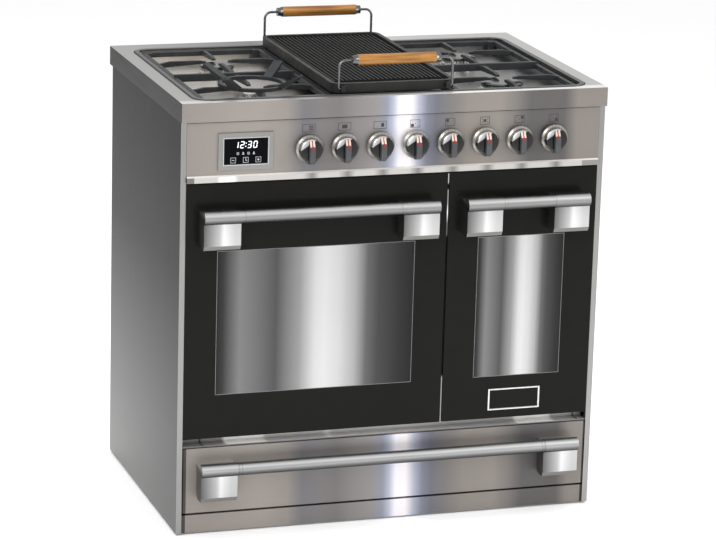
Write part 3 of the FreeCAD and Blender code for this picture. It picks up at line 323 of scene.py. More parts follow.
def lip_painted_reflections():
    """Polished folded edge with painted reflections: a dark patch under each knob, one white patch and a
    plain, darker length at each end.
    """
    plain, dark, white = (0.54, 0.53, 0.505), (0.22, 0.215, 0.20), (0.93, 0.93, 0.92)
    left_end, right_end = -425, 398
    finish = Finish("panel_lip_polish_painted_reflections", plain, 1.0, 0.14)
    # painted reflections: a white patch, each knob mirrored as a dark patch, and darker plain ends
    stops = [(left_end, plain), (-376, plain), (-366, white), (-342, white), (-332, plain)]
    for knob in KNOBS:
        x = knob_middle(knob)[0] / MM
        stops += [(x - 12, plain), (x + 8, dark), (x + 24, plain)]
    width = finish.width()
    mirrored = finish.ramp(width, [(across(place), shade) for place, shade in stops])
    ends = finish.ramp(width, ((0.0, 0.36), (across(left_end), 1.0), (across(right_end), 0.55)), steps=True)
    finish.colour(mirrored, ends)
    finish.rough(finish.noise(20.0), 0.12, 0.2)
    return finish.material


# Painted reflections along the rail over the drawer: place from the middle in mm, brightness
PAINTED_RAIL_REFLECTIONS = (
    (-437, 0.28), (-397, 0.28), (-396.5, 0.01), (-392.5, 0.01), (-392, 0.32), (-347, 0.34),
    (-342, 0.96), (-261, 0.96), (-255, 0.60), (-135, 0.58), (-123, 0.85), (-111, 0.62),
    (15, 0.70), (175, 0.52), (283, 0.50), (289, 0.96), (365, 0.96), (370, 0.50),
    (415, 0.50), (415.5, 0.01), (419.5, 0.01), (420, 0.46), (437, 0.46),
)
RAIL_TINT = (1.0, 0.985, 0.96)


def rail_painted_reflections():
    """Polished rail set back over the drawer, with painted reflections and a slit before each end piece."""
    finish = Finish("rail_painted_reflections", (0.6, 0.6, 0.6), 0.45, 0.34)
    stops = [(across(place), scaled(RAIL_TINT, level)) for place, level in PAINTED_RAIL_REFLECTIONS]
    finish.colour(finish.ramp(finish.width(), stops))
    finish.rough(finish.noise(20.0), 0.3, 0.4)
    return finish.material


def cap_painted_highlight(name, x, z):
    """Polished face of a knob with a painted highlight: light towards its upper left."""
    finish = Finish(name, (0.5, 0.5, 0.5), 1.0, 0.2)
    # painted highlight on the upper left, painted shade below
    finish.colour(finish.ramp(finish.slant((x, 0, z), math.radians(-32), CAP_RADIUS), (
        (0.0, 0.10), (0.10, 0.05), (0.74, 0.04), (0.79, 0.62), (1.0, 0.88))))
    finish.rough(finish.noise(80.0), 0.16, 0.26)
    return finish.material


def end_plate_painted_reflection(name, left):
    """Mirror-polished plate with a painted reflection: grey at its left edge and brightest past its middle.
    """
    finish = Finish(name, (0.8, 0.8, 0.8), 1.0, 0.12)
    finish.rough(finish.noise(60.0, (1, 6, 1)), 0.1, 0.2)
    finish.colour(finish.ramp(finish.axis("X", left, left + PLATE_WIDTH), (
        (0.0, 0.11), (0.22, 0.25), (0.42, 0.40), (0.54, 0.66), (0.64, 0.58), (0.82, 0.46), (1.0, 0.43))))
    return finish.material


def satin_tube_painted_sheen(name, low, high):
    """Brushed handle tube with painted sheen, brightest above its middle, with fine seams where each end
    piece is pushed on.
    """
    finish = Finish(name, (0.5, 0.5, 0.5), 1.0, 0.3)
    lines = brushed(finish, (4, 1900, 1900), 0.28, 0.34, 0.01 * MM)
    sheen = finish.ramp(finish.axis("Z", high.z - TUBE_HEIGHT, high.z), (
        (0.0, 0.04), (0.15, 0.07), (0.31, 0.14), (0.5, 0.30), (0.74, 0.72), (0.88, 0.52), (1.0, 0.30)))
    length = high.x - low.x
    at, line, gap = PLATE_WIDTH / length, 1.0 * MM / length, 6.0 * MM / length
    seams = finish.ramp(finish.axis("X", low.x, high.x), (
        (0.0, 1.0), (at, 0.74), (at + line, 1.0), (at + gap, 0.80), (at + gap + line, 0.98),
        (1 - at - gap - line, 0.80), (1 - at - gap, 1.0), (1 - at - line, 0.74), (1 - at, 1.0)), steps=True)
    finish.colour(sheen, lines, seams)
    return finish.material


def dark_glass(name, shade, specular):
    """Glass printed dark on its back."""
    finish = Finish(name, shade, 0.0, 0.2, Specular_IOR_Level=specular)
    finish.rough(finish.noise(5.0), 0.16, 0.26)
    finish.colour(finish.mottle(shade, 26.0, 0.95, 1.07))
    return finish.material


# Painted reflection in a mirrored window: share of its width, brightness
PAINTED_WINDOW_REFLECTION = (
    (0.0, 0.018), (0.035, 0.035), (0.12, 0.165), (0.20, 0.125), (0.30, 0.070), (0.42, 0.24), (0.50, 0.50),
    (0.545, 0.54), (0.62, 0.47), (0.70, 0.31), (0.76, 0.105), (0.82, 0.055), (0.93, 0.028), (1.0, 0.018),
)


def window_mirror(side, left, right):
    """Dark mirrored oven window with one bright upright painted reflection."""
    finish = Finish(side + "_window_mirror", (0.3, 0.3, 0.3), 0.9, 0.22)
    finish.colour(finish.ramp(finish.axis("X", left, right), PAINTED_WINDOW_REFLECTION))
    finish.rough(finish.noise(4.0), 0.18, 0.27)
    return finish.material


def cast_iron(name, shade):
    """Sand-cast iron under a thin dark enamel."""
    finish = Finish(name, shade, 0.0, 0.5, Specular_IOR_Level=0.3)
    finish.colour(finish.mottle(shade, 22.0, 0.75, 1.4))
    finish.rough(finish.noise(60.0), 0.38, 0.56)
    finish.bump(finish.noise(420.0, detail=3.0), 0.6 * MM, 0.4)
    return finish.material


def speckled_enamel(name, dark, light):
    """Vitreous enamel with fine pale specks."""
    finish = Finish(name, dark, 0.0, 0.2, Coat_Weight=0.3)
    finish.colour(finish.ramp(finish.noise(900.0, detail=1.0), ((0.62, dark), (0.72, light))))
    finish.rough(finish.noise(18.0), 0.14, 0.26)
    finish.bump(finish.noise(70.0), 0.4 * MM, 0.15)
    return finish.material


def metal(name, shade, low, high, grain=(200, 200, 200), relief=0.08 * MM):
    """Worked metal with a fine surface."""
    finish = Finish(name, shade, 1.0, 0.5 * (low + high))
    lines = finish.noise(1.0, grain, 5.0)
    streaks = finish.ramp(finish.spread(lines, 0, 1), ((0.0, 0.88), (1.0, 1.1)))
    finish.colour(finish.mottle(shade, 12.0, 0.84, 1.14, 0.25), streaks)
    finish.rough(lines, low, high)
    finish.bump(lines, relief)
    return finish.material


def galvanised():
    """Zinc-coated sheet with its spangle."""
    finish = Finish("galvanised_sheet", (0.5, 0.51, 0.52), 1.0, 0.45)
    spangle = finish.add("TexVoronoi", {"Scale": 130.0})
    finish.link(finish.place(), spangle.inputs["Vector"])
    stops = ((0.1, (0.40, 0.41, 0.42)), (0.9, (0.50, 0.51, 0.52)))
    finish.colour(finish.ramp(spangle.outputs["Color"], stops))
    finish.rough(finish.noise(40.0), 0.4, 0.55)
    return finish.material


def plastic(name, shade, low=0.32, high=0.46):
    """Moulded plastic with a fine spark-eroded surface."""
    finish = Finish(name, shade, 0.0, 0.4, Specular_IOR_Level=0.4)
    finish.colour(finish.mottle(shade, 30.0, 0.88, 1.14))
    finish.rough(finish.noise(90.0), low, high)
    finish.bump(finish.noise(700.0, detail=2.0), 0.2 * MM)
    return finish.material


def wood():
    """Varnished honey-coloured hardwood with its grain along the grip."""
    finish = Finish("varnished_wood", (0.38, 0.18, 0.05), 0.0, 0.4, Coat_Weight=0.12, Coat_Roughness=0.2)
    grain = finish.noise(1.0, (9, 160, 160), 6.0)
    tone = finish.ramp(grain, (
        (0.28, (0.14, 0.050, 0.007)), (0.48, (0.25, 0.103, 0.015)),
        (0.62, (0.37, 0.165, 0.027)), (0.75, (0.20, 0.076, 0.010))))
    figure = finish.ramp(finish.noise(1.0, (14, 40, 40)), ((0.3, 0.78), (0.7, 1.15)))
    finish.colour(tone, figure)
    finish.rough(grain, 0.34, 0.5)
    finish.bump(grain, 0.3 * MM, 0.3)
    return finish.material


def clear_glass():
    """Inner door pane, faintly grey."""
    finish = Finish("inner_pane", (0.7, 0.74, 0.73), 0.0, 0.05, IOR=1.45, Transmission_Weight=0.85)
    finish.rough(finish.noise(9.0), 0.03, 0.09)
    return finish.material


def lit_mark(name, shade, strength):
    """Glowing display mark."""
    finish = Finish(name, shade, 0.0, 0.4, Emission_Color=(*shade, 1.0), Emission_Strength=strength)
    finish.rough(finish.noise(300.0), 0.35, 0.45)
    return finish.material


# Brushed steel fronts with painted lamp-band reflections
FRONT_STEEL = front_steel_painted_bands("front_brushed_steel_painted_bands")
# Drawer and plinth: painted lamp bands, and painted shade of the gap past each end
DRAWER_STEEL = front_steel_painted_bands("drawer_brushed_steel_painted_bands_and_gap_shade", end=431.5)
TOP_STEEL = worktop_steel_painted_sheen()
TRAY_STEEL = tray_steel_painted_sheen()
# Ends of the worktop: the same steel made darker, as painted shade
EDGE_STEEL = satin_steel("worktop_side_steel_painted_shade", (0.065, 0.065, 0.065), ALONG_Y, Specular_Tint=GRAZING_TINT)
FLANGE_STEEL = satin_steel("edge_steel", (0.30, 0.297, 0.29), ALONG_Z)
REAR_STEEL = satin_steel("worktop_rear_steel", (0.40, 0.395, 0.385), ALONG_X, 0.34, 0.44)
# Sides and undersides of the handle blocks: a darker copy of the plates' steel, as painted shade
BLOCK_STEEL = satin_steel("handle_block_steel_painted_shade", (0.19, 0.186, 0.18), ALONG_Y)
BEAD_STEEL = satin_steel("hob_bead_steel", (0.15, 0.15, 0.15), (60, 60, 60), 0.3, 0.4)
SIDE_STEEL = side_steel_painted_shade()
LIP = lip_painted_reflections()
# Fold over the lip: a pale, mostly diffuse copy of the steel, painted light over the fold's shade
LIP_FOLD = satin_steel("lip_fold_steel_painted_light", (0.80, 0.77, 0.74), metallic=0.2)
RAIL = rail_painted_reflections()
GAP_PAINTED_REFLECTIONS = gap_painted_reflections()
PLATE = metal("badge_polish", (0.70, 0.70, 0.70), 0.1, 0.2)
BLACK_GLASS = dark_glass("printed_black_glass", (0.0068, 0.0066, 0.0060), 0.1)
CLEAR_GLASS = clear_glass()
IRON = cast_iron("cast_iron", (0.021, 0.022, 0.0235))
GRIDDLE_IRON = cast_iron("griddle_iron", (0.0125, 0.0125, 0.012))
CAP_ENAMEL = speckled_enamel("burner_cap_enamel", (0.012, 0.012, 0.013), (0.02, 0.02, 0.021))
OVEN_ENAMEL = speckled_enamel("oven_enamel", (0.014, 0.015, 0.018), (0.10, 0.11, 0.12))
ALLOY = metal("burner_alloy", (0.60, 0.585, 0.56), 0.3, 0.44)
BRASS = metal("brass", (0.60, 0.42, 0.16), 0.26, 0.42)
CHROME = metal("chrome_wire", (0.72, 0.72, 0.73), 0.1, 0.2)
BAIL_WIRE = metal("bail_wire", (0.17, 0.17, 0.17), 0.2, 0.34)
KNOB_SATIN = metal("knob_satin_painted_sheen", (0.44, 0.42, 0.385), 0.3, 0.4, (300, 300, 300), 0.03 * MM)
KNOB_RIM = metal("knob_rim", (0.05, 0.05, 0.045), 0.3, 0.4)
KNOB_GREY = plastic("knob_anthracite", (0.056, 0.059, 0.062))
POINTER_IVORY = plastic("pointer_ivory", (0.60, 0.49, 0.42))
POINTER_RED = plastic("pointer_red", (0.25, 0.014, 0.020))
INK = plastic("printed_ink", (0.03, 0.03, 0.032), 0.45, 0.6)
TIMER_GLASS = dark_glass("timer_glass", (0.002, 0.002, 0.003), 0.05)
TERMINAL_PLASTIC = plastic("terminal_plastic", (0.02, 0.02, 0.02))
SWITCH_PLASTIC = plastic("switch_plastic", (0.55, 0.53, 0.48))
RUBBER = plastic("rubber", (0.018, 0.018, 0.018), 0.6, 0.8)
CERAMIC = plastic("electrode_ceramic", (0.72, 0.70, 0.66), 0.25, 0.4)
GALVANISED = galvanised()
MOTOR_STEEL = metal("dark_steel", (0.20, 0.20, 0.205), 0.35, 0.5)
WOOD = wood()
DIGIT_WHITE = lit_mark("display_white", (0.92, 0.95, 1.0), 0.9)
KEY_GREY = lit_mark("display_grey", (0.46, 0.48, 0.50), 0.25)


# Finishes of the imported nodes
WELD_REACH = 0.01 * MM
SHARP_EDGE = math.radians(38)


def dress(name, *finishes, choose=None, edge=None):
    """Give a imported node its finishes.

    choose picks one of them by a face's middle and normal, and edge is the width of its softened edges.
    """
    obj = nodes[name]
    mesh = obj.data
    mesh.materials.clear()
    for finish in finishes:
        mesh.materials.append(finish)
    if choose:
        for face in mesh.polygons:
            face.material_index = choose(face.center, face.normal)
    if edge:
        mesh.polygons.foreach_set("use_smooth", [True] * len(mesh.polygons))
        weld = obj.modifiers.new("weld", "WELD")
        weld.merge_threshold = WELD_REACH
        soft = obj.modifiers.new("soft_edges", "BEVEL")
        soft.width = edge
        soft.segments = 2
        soft.limit_method = "ANGLE"
        soft.angle_limit = SHARP_EDGE
        obj.modifiers.new("even_normals", "WEIGHTED_NORMAL")


def choose_flange(centre, normal):
    """Light front flange of a side panel, and the sheet behind it."""
    return 0 if normal.y < -FACING else 1


def choose_worktop(centre, normal):
    """Front apron, satin rim, ends darker as painted shade, and a plain rear edge."""
    if abs(normal.y) > FACING:
        return 0 if normal.y < 0 else 3
    return 2 if abs(normal.x) > FACING else 1


def choose_burner(centre, normal):
    """The smallest burner, at the front left, has a cap of bare metal."""
    return 1 if centre.x < -100 * MM and centre.y < 0 else 0


def choose_panel(centre, normal):
    """Brushed front sheet over its polished lip, with the fold between them painted light."""
    turned_back = normal.y > 0.3
    if turned_back or centre.y > door_front - 0.2 * MM:
        return 0
    return 2 if normal.z > FACING else 1


def choose_frame(centre, normal):
    """Polished rail over the drawer with its dark front edge, plain sheet round the oven mouths."""
    rail_back = door_front + 28.2 * MM
    rail_edge = door_front + 5 * MM
    if centre.z > door_low.z or centre.y > rail_back:
        return 0
    return 2 if normal.y < -FACING and centre.y < rail_edge else 1


def choose_timer(centre, normal):
    """Light bezel round the dark screen, and a dark body behind the panel."""
    rim = 11.5 * MM
    in_width = timer_low.x + rim < centre.x < timer_high.x - rim
    in_height = timer_low.z + rim < centre.z < timer_high.z - rim
    screen = in_width and in_height and normal.y < -FACING
    behind = centre.y > door_front + 1 * MM
    return 1 if screen or behind else 0


def dress_handle(name):
    """Satin tube with a mirror-polished plate under each end, whose sides and underside are darker as painted
    shade.
    """
    low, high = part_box(name)
    tube_foot = high.z - TUBE_HEIGHT
    tube = satin_tube_painted_sheen(name + "_satin_painted_sheen", low, high)
    left = end_plate_painted_reflection(name + "_left_plate", low.x)
    right = end_plate_painted_reflection(name + "_right_plate", high.x - PLATE_WIDTH)

    def choose(centre, normal):
        if centre.z > tube_foot + 0.2 * MM:
            return 0
        # sides and undersides: the darker steel, as painted shade
        if normal.y > -FLAT:
            return 3
        return 1 if centre.x < (low.x + high.x) / 2 else 2
    dress(name, tube, left, right, BLOCK_STEEL, choose=choose, edge=0.6 * MM)


def dress_knob(name):
    """Satin skirt, polished round cap, anthracite tail and grip."""
    x, z = knob_middle(name)
    skirt_front = door_front - (KNOB_SKIRT + 0.3) * MM
    cap_front = door_front - KNOB_CAP * MM
    wall_inside, wall_outside = 21 * MM, 24 * MM
    tail_top = z - 13 * MM

    def choose(centre, normal):
        if centre.y > skirt_front:
            return 0
        if normal.y < -FLAT:
            return 2 if abs(centre.y - cap_front) < 0.3 * MM else 1
        away = math.hypot(centre.x - x, centre.z - z)
        wall = normal.y < FLAT and wall_inside < away < wall_outside
        return 2 if wall and centre.z > tail_top and centre.y > cap_front else 1
    dress(name, KNOB_SATIN, KNOB_GREY, cap_painted_highlight(name + "_cap_painted_highlight", x, z), choose=choose, edge=0.5 * MM)


def dress_bail(name):
    """Dark steel wire and ferrules, wooden grip."""
    low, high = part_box(name)
    grip_half, grip_radius, wire_radius = 82 * MM, 11 * MM, 4 * MM
    grip_y, grip_z = (low.y + high.y) / 2, high.z - grip_radius

    def choose(centre, normal):
        away = math.hypot(centre.y - grip_y, centre.z - grip_z)
        return 1 if abs(centre.x) < grip_half and away > wire_radius else 0
    dress(name, BAIL_WIRE, WOOD, choose=choose)


dress("control_panel", FRONT_STEEL, LIP, LIP_FOLD, choose=choose_panel)
dress("hob_surround", FRONT_STEEL, TOP_STEEL, EDGE_STEEL, REAR_STEEL, choose=choose_worktop, edge=1.2 * MM)
dress("front_frame", FLANGE_STEEL, RAIL, MOTOR_STEEL, choose=choose_frame)
dress("timer_module", FLANGE_STEEL, TIMER_GLASS, choose=choose_timer, edge=0.6 * MM)
dress("burner_caps", CAP_ENAMEL, ALLOY, choose=choose_burner)
for side in SIDES:
    dress(side + "_side_panel", FLANGE_STEEL, SIDE_STEEL, choose=choose_flange, edge=0.8 * MM)
for name in ("left_door_handle", "right_door_handle", "drawer_handle"):
    dress_handle(name)
for name in KNOBS:
    dress_knob(name)
for name in ("griddle_front_bail", "griddle_rear_bail"):
    dress_bail(name)

# Nodes with one finish and softened edges
for name, finish, edge in (
        ("drawer_front", DRAWER_STEEL, 0.8), ("plinth", DRAWER_STEEL, 0.6), ("left_pan_support", IRON, 1.3),
        ("centre_pan_support", IRON, 1.3), ("right_pan_support", IRON, 1.3), ("wok_ring", IRON, 1.2),
        ("griddle_plate", GRIDDLE_IRON, 0.7), ("terminal_box", TERMINAL_PLASTIC, 0.8)):
    dress(name, finish, edge=edge * MM)

# Nodes with one finish and plain edges
for finish, names in (
        (TRAY_STEEL, ("hob_tray",)),
        (ALLOY, ("burner_cups", "burner_crowns")),
        (CLEAR_GLASS, ("left_door_inner_glass", "right_door_inner_glass")),
        (OVEN_ENAMEL, ("left_oven_liner", "right_oven_liner", "fan_baffle")),
        (GALVANISED, ("left_door_frame", "left_door_hinges", "right_door_frame", "right_door_hinges",
                      "rear_panel", "base_pan", "drawer_box", "drawer_rails", "fan_impeller")),
        (MOTOR_STEEL, ("fan_motor", "heating_elements")),
        (CHROME, ("oven_racks",)),
        (RUBBER, ("oven_seals", "levelling_feet")),
        (BRASS, ("gas_manifold", *TAP_PLUGS)),
        (SWITCH_PLASTIC, ("oven_switches",))):
    for name in names:
        dress(name, finish)


# New pieces: reach of merged doubles, and the angle between two faces past which their edge is a corner
MERGE_REACH = 0.002 * MM
CORNER_ANGLE = 1.0


def keep(bm, name, body, slot, *finishes):
    """Make a finished piece of a bmesh and let it ride on its body."""
    bmesh.ops.remove_doubles(bm, verts=bm.verts, dist=MERGE_REACH)
    bmesh.ops.recalc_face_normals(bm, faces=bm.faces)
    mesh = bpy.data.meshes.new(name)
    bm.to_mesh(mesh)
    bm.free()
    for finish in finishes:
        mesh.materials.append(finish)
    piece = bpy.data.objects.new(name, mesh)
    bpy.context.scene.collection.objects.link(piece)
    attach(piece, body)
    return piece


def slab(bm, low, high):
    """A box from its lowest to its highest corner; returns its vertices."""
    low, high = Vector(low), Vector(high)
    shape = Matrix.LocRotScale((low + high) / 2, None, high - low)
    return bmesh.ops.create_cube(bm, size=1.0, matrix=shape)["verts"]


def soften(bm, geom, width, segments=2, affect="EDGES"):
    """Round off edges, or the corners of a flat face."""
    bmesh.ops.bevel(bm, geom=geom, offset=width, offset_type="OFFSET", segments=segments, profile=0.5,
                    affect=affect, material=-1)


def hollow(bm, face, line):
    """Cut a face down to a line of even width along its border; returns the line's faces."""
    face.normal_update()
    ring = bmesh.ops.inset_region(bm, faces=[face], thickness=line, use_boundary=True)["faces"]
    bmesh.ops.delete(bm, geom=[face], context="FACES")
    return ring


def spun(bm, outline, centre, axis, steps):
    """A full turn of a half outline in mm, as (radius, length along the axis)."""
    verts = [bm.verts.new(centre + (RIGHT * radius + axis * length) * MM) for radius, length in outline]
    edges = [bm.edges.new(pair) for pair in zip(verts, verts[1:])]
    bmesh.ops.spin(bm, geom=verts + edges, cent=centre, axis=axis, angle=2 * math.pi, steps=steps,
                   use_merge=True)


def front_faces(bm):
    """Faces that look squarely to the front."""
    return [face for face in bm.faces if face.normal.y < -SQUARE]


# Door glass: how far the inner pane reaches past the window, and the line round the window
WINDOW_LAP = Vector((14 * MM, 0, 14 * MM))
WINDOW_LINE = 1.6 * MM
GLASS_EDGE = 0.8 * MM


def door_glass(side):
    """Printed glass with a mirrored window and the fine line round it."""
    node = side + "_door_glass"
    low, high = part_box(node)
    inner_low, inner_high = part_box(side + "_door_inner_glass")
    window_low, window_high = inner_low + WINDOW_LAP, inner_high - WINDOW_LAP
    bm = bmesh.new()
    slab(bm, low, high)
    soften(bm, bm.edges[:], GLASS_EDGE)
    for normal in (RIGHT, UP):
        for corner in (window_low, window_high):
            front = front_faces(bm)
            edges = {edge for face in front for edge in face.edges}
            verts = {vert for face in front for vert in face.verts}
            bmesh.ops.bisect_plane(bm, geom=front + list(edges) + list(verts), dist=0.001 * MM,
                                   plane_co=corner, plane_no=normal)
    middle = (window_low + window_high) / 2
    window = min(front_faces(bm), key=lambda face: (face.calc_center_median() - middle).length)
    line = bmesh.ops.inset_region(bm, faces=[window], thickness=WINDOW_LINE)
    window.material_index = 1
    for face in line["faces"]:
        face.material_index = 2
    mirror = window_mirror(side, window_low.x, window_high.x)
    piece = keep(bm, side + "_glass_panel", side + "_door", "black_glass", BLACK_GLASS, mirror, MOTOR_STEEL)
    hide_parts(node)


def door_gap_strip():
    """Polished strip on the post that shows between the doors."""
    clear, short, sunk, bedded = 0.7 * MM, 2 * MM, 1.5 * MM, 0.5 * MM
    right_low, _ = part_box("right_door_glass")
    post_low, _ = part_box("front_frame")
    low = Vector((door_high.x + clear, door_front + sunk, door_low.z + short))
    high = Vector((right_low.x - clear, post_low.y + bedded, door_high.z - short))
    bm = bmesh.new()
    slab(bm, low, high)
    upright = [edge for edge in bm.edges if edge.calc_length() > (high.z - low.z) / 2]
    soften(bm, upright, 0.4 * MM)
    keep(bm, "door_gap_strip", "cabinet", "polished_steel", GAP_PAINTED_REFLECTIONS)


# Bare plate low on the right door: its corners along and up the door, and its section
BADGE_LEFT, BADGE_RIGHT = 216 * MM, 330 * MM
BADGE_BOTTOM, BADGE_TOP = 222 * MM, 269 * MM
BADGE_DEPTH, BADGE_FRAME, BADGE_STEP, BADGE_SUNK = 3.4 * MM, 5 * MM, 0.6 * MM, 1.4 * MM


def badge():
    """Bare framed plate low on the right door."""
    bm = bmesh.new()
    slab(bm, (BADGE_LEFT, door_front - BADGE_DEPTH, BADGE_BOTTOM), (BADGE_RIGHT, door_front, BADGE_TOP))
    face = front_faces(bm)[0]
    rim = bmesh.ops.inset_region(bm, faces=[face], thickness=BADGE_FRAME)
    bmesh.ops.inset_region(bm, faces=[face], thickness=BADGE_STEP)
    bmesh.ops.translate(bm, verts=face.verts[:], vec=BACK * BADGE_SUNK)
    face.material_index = 1
    outer = {edge for ring in rim["faces"] for edge in ring.edges if edge.calc_face_angle(0) > CORNER_ANGLE}
    soften(bm, list(outer), 1.1 * MM, 3)
    keep(bm, "door_plate", "right_door", "polished_steel", PLATE, BLACK_GLASS)


for side in SIDES:
    door_glass(side)
door_gap_strip()
badge()


class Marks:
    """Thin raised marks on a face that looks to the front, measured in mm from a middle that can be moved."""

    def __init__(self, face_y, depth, x=0.0, z=0.0):
        self.bm = bmesh.new()
        self.back = face_y
        self.front = face_y - depth
        self.at(x, z)

    def at(self, x, z):
        """Move the middle to a place in metres."""
        self.x = x
        self.z = z

    def bar(self, right, up, width, height):
        """A filled rectangle, by how far its own middle is right of and above the marks' middle."""
        x, z = self.x + right * MM, self.z + up * MM
        half_x, half_z = width * MM / 2, height * MM / 2
        slab(self.bm, (x - half_x, self.front, z - half_z), (x + half_x, self.back, z + half_z))

    def outline(self, width, height, line):
        """A rectangular line round the middle."""
        half_x, half_z = width * MM / 2, height * MM / 2
        corners = ((-half_x, -half_z), (half_x, -half_z), (half_x, half_z), (-half_x, half_z))
        verts = [self.bm.verts.new((self.x + right, self.front, self.z + up)) for right, up in corners]
        ring = hollow(self.bm, self.bm.faces.new(verts), line * MM)
        bmesh.ops.solidify(self.bm, geom=ring, thickness=self.front - self.back)


# Timer display: rows above or below its middle, in mm
CLOCK_ROW, LAMP_ROW, KEY_ROW = 13, -4.5, -18
SCREEN_FRONT = timer_low.y + 1.5 * MM
SCREEN_MARK = 0.25 * MM

# Bars of a figure: shares of its width and half height from its middle, and whether the bar is level
SEGMENTS = {
    "a": (0, 1, True), "b": (0.5, 0.5, False), "c": (0.5, -0.5, False), "d": (0, -1, True),
    "e": (-0.5, -0.5, False), "f": (-0.5, 0.5, False), "g": (0, 0, True),
}
FIGURES = {"0": "abcdef", "1": "bc", "2": "abged", "3": "abgcd"}
FIGURE_WIDTH, FIGURE_HEIGHT, FIGURE_LINE = 8, 14, 1.52
FIGURE_LEAN = 0.12
CLOCK_TIME = "1230"
CLOCK_PLACES = (-19.5, -7.5, 7.5, 19.5)
DOT_RISE, DOT_SIZE = 3.2, 1.8


def timer_row(row):
    """Height of a row of the timer's display."""
    return timer_middle.z + row * MM


def figure(marks, sign, place):
    """One seven-segment figure, placed in mm right of the marks' middle."""
    level_size = (FIGURE_WIDTH - FIGURE_LINE * 1.3, FIGURE_LINE)
    upright_size = (FIGURE_LINE, FIGURE_HEIGHT / 2 - FIGURE_LINE * 1.2)
    for key in FIGURES[sign]:
        right, up, level = SEGMENTS[key]
        marks.bar(place + right * (FIGURE_WIDTH - FIGURE_LINE), up * (FIGURE_HEIGHT - FIGURE_LINE) / 2,
                  *(level_size if level else upright_size))


def timer_figures():
    """Clock figures and their two dots, leaning to the right."""
    marks = Marks(SCREEN_FRONT, SCREEN_MARK, timer_middle.x, timer_row(CLOCK_ROW))
    for sign, place in zip(CLOCK_TIME, CLOCK_PLACES):
        figure(marks, sign, place)
    for up in (-DOT_RISE, DOT_RISE):
        marks.bar(0, up, DOT_SIZE, DOT_SIZE)
    lean = Matrix.Identity(4)
    lean[0][2] = FIGURE_LEAN
    about = Matrix.Translation(UP * timer_row(CLOCK_ROW))
    bmesh.ops.transform(marks.bm, matrix=about @ lean @ about.inverted(), verts=marks.bm.verts)
    keep(marks.bm, "timer_figures", "cabinet", "timer_plastic", DIGIT_WHITE)


def timer_keys():
    """Four lamp marks over three touch keys: minus, clock and plus."""
    lamp_gap, key_gap = 11 * MM, 26 * MM
    marks = Marks(SCREEN_FRONT, SCREEN_MARK)
    for step in range(4):
        marks.at(timer_middle.x + (step - 1.5) * lamp_gap, timer_row(LAMP_ROW))
        if step % 2:
            marks.bar(0, 1.2, 2.2, 2.6)
            marks.bar(0, -1.6, 4.4, 1.4)
        else:
            marks.outline(4.4, 4.8, 0.9)
            marks.bar(0, 0, 1.2, 1.6)
    for step in (-1, 0, 1):
        marks.at(timer_middle.x + step * key_gap, timer_row(KEY_ROW))
        marks.outline(11, 11, 0.9)
        if step == 0:
            marks.bar(0, 1.6, 1.1, 4.2)
            marks.bar(1.6, -1.1, 3.2, 1.1)
        else:
            marks.bar(0, 0, 5.4, 1.1)
        if step == 1:
            for up in (-1.65, 1.65):
                marks.bar(0, up, 1.1, 2.1)
    keep(marks.bm, "timer_keys", "cabinet", "timer_plastic", KEY_GREY)


def timer_edge():
    """Polished line on the bezel round the screen."""
    inset = 20
    size = (timer_high - timer_low) / MM
    marks = Marks(timer_low.y, 0.3 * MM, timer_middle.x, timer_middle.z)
    marks.outline(size.x - inset, size.z - inset, 1.5)
    keep(marks.bm, "timer_edge", "cabinet", "polished_steel", PLATE)


timer_figures()
timer_keys()
timer_edge()

# Printed signs: their height over a knob's axis, and the burners' places on the small plan of the hob
SIGN_RISE = 41 * MM
INK_DEPTH = 0.12 * MM
PLAN_SPOTS = ((-1, -1), (-1, 1), (0, 0), (1, 1), (1, -1))
PLAN_GAP_X, PLAN_GAP_Z = 5.8, 3.4


def knob_signs():
    """A small plan of the hob over each burner knob, and oven signs over the others."""
    marks = Marks(door_front, INK_DEPTH)
    for name, own_spot in zip(BURNER_KNOBS, PLAN_SPOTS):
        x, z = knob_middle(name)
        marks.at(x, z + SIGN_RISE)
        marks.outline(21, 16, 1.4)
        for spot in PLAN_SPOTS:
            size = 6.0 if spot == own_spot else 1.8
            marks.bar(spot[0] * PLAN_GAP_X, spot[1] * PLAN_GAP_Z, size, size)
    for name in OVEN_KNOBS:
        x, z = knob_middle(name)
        marks.at(x, z + SIGN_RISE)
        marks.outline(27, 16, 1.3)
        if name == "oven_function_knob":
            for up in (-3.6, 0, 3.6):
                marks.bar(5, up, 10, 1.9)
        else:
            width = 11 if name == "main_oven_knob" else 6
            marks.bar(11.5 - width, 0, width, 8)
    keep(marks.bm, "panel_signs", "cabinet", "timer_plastic", INK)


knob_signs()

# Knob outlines in mm, as (out from the knob's axis, ahead of the panel):
# the pointer's slope on the grip, the cone of the skirt and the ring round the cap
POINTER_SLOPE = ((20.5, KNOB_CAP), (2, KNOB_GRIP))
CONE_SLOPE = ((28.5, 10.5), (25, KNOB_SKIRT))
CAP_RING = ((24.9, KNOB_SKIRT - 0.1), (24.7, KNOB_SKIRT + 0.4), (24.2, KNOB_SKIRT + 0.4))
SCALE_MARKS, SCALE_STEP = 9, math.radians(16)


def slope_frame(x, z, slope, turn=0.0):
    """Frame on a knob's slope: across it, down it and out of it, turned about the knob's axis."""
    start, end = (Vector((0, door_front - ahead * MM, out * MM)) for out, ahead in slope)
    down = (end - start).normalized()
    frame_on = Matrix((RIGHT, down, down.cross(RIGHT))).transposed().to_4x4()
    return (Matrix.Translation((x, 0, z)) @ Matrix.Rotation(turn, 4, "Y")
            @ Matrix.Translation(start) @ frame_on)


def slope_mark(bm, place, low, high):
    """A thin mark between two corners in a slope's frame, in mm."""
    verts = slab(bm, Vector(low) * MM, Vector(high) * MM)
    bmesh.ops.transform(bm, matrix=place, verts=verts)


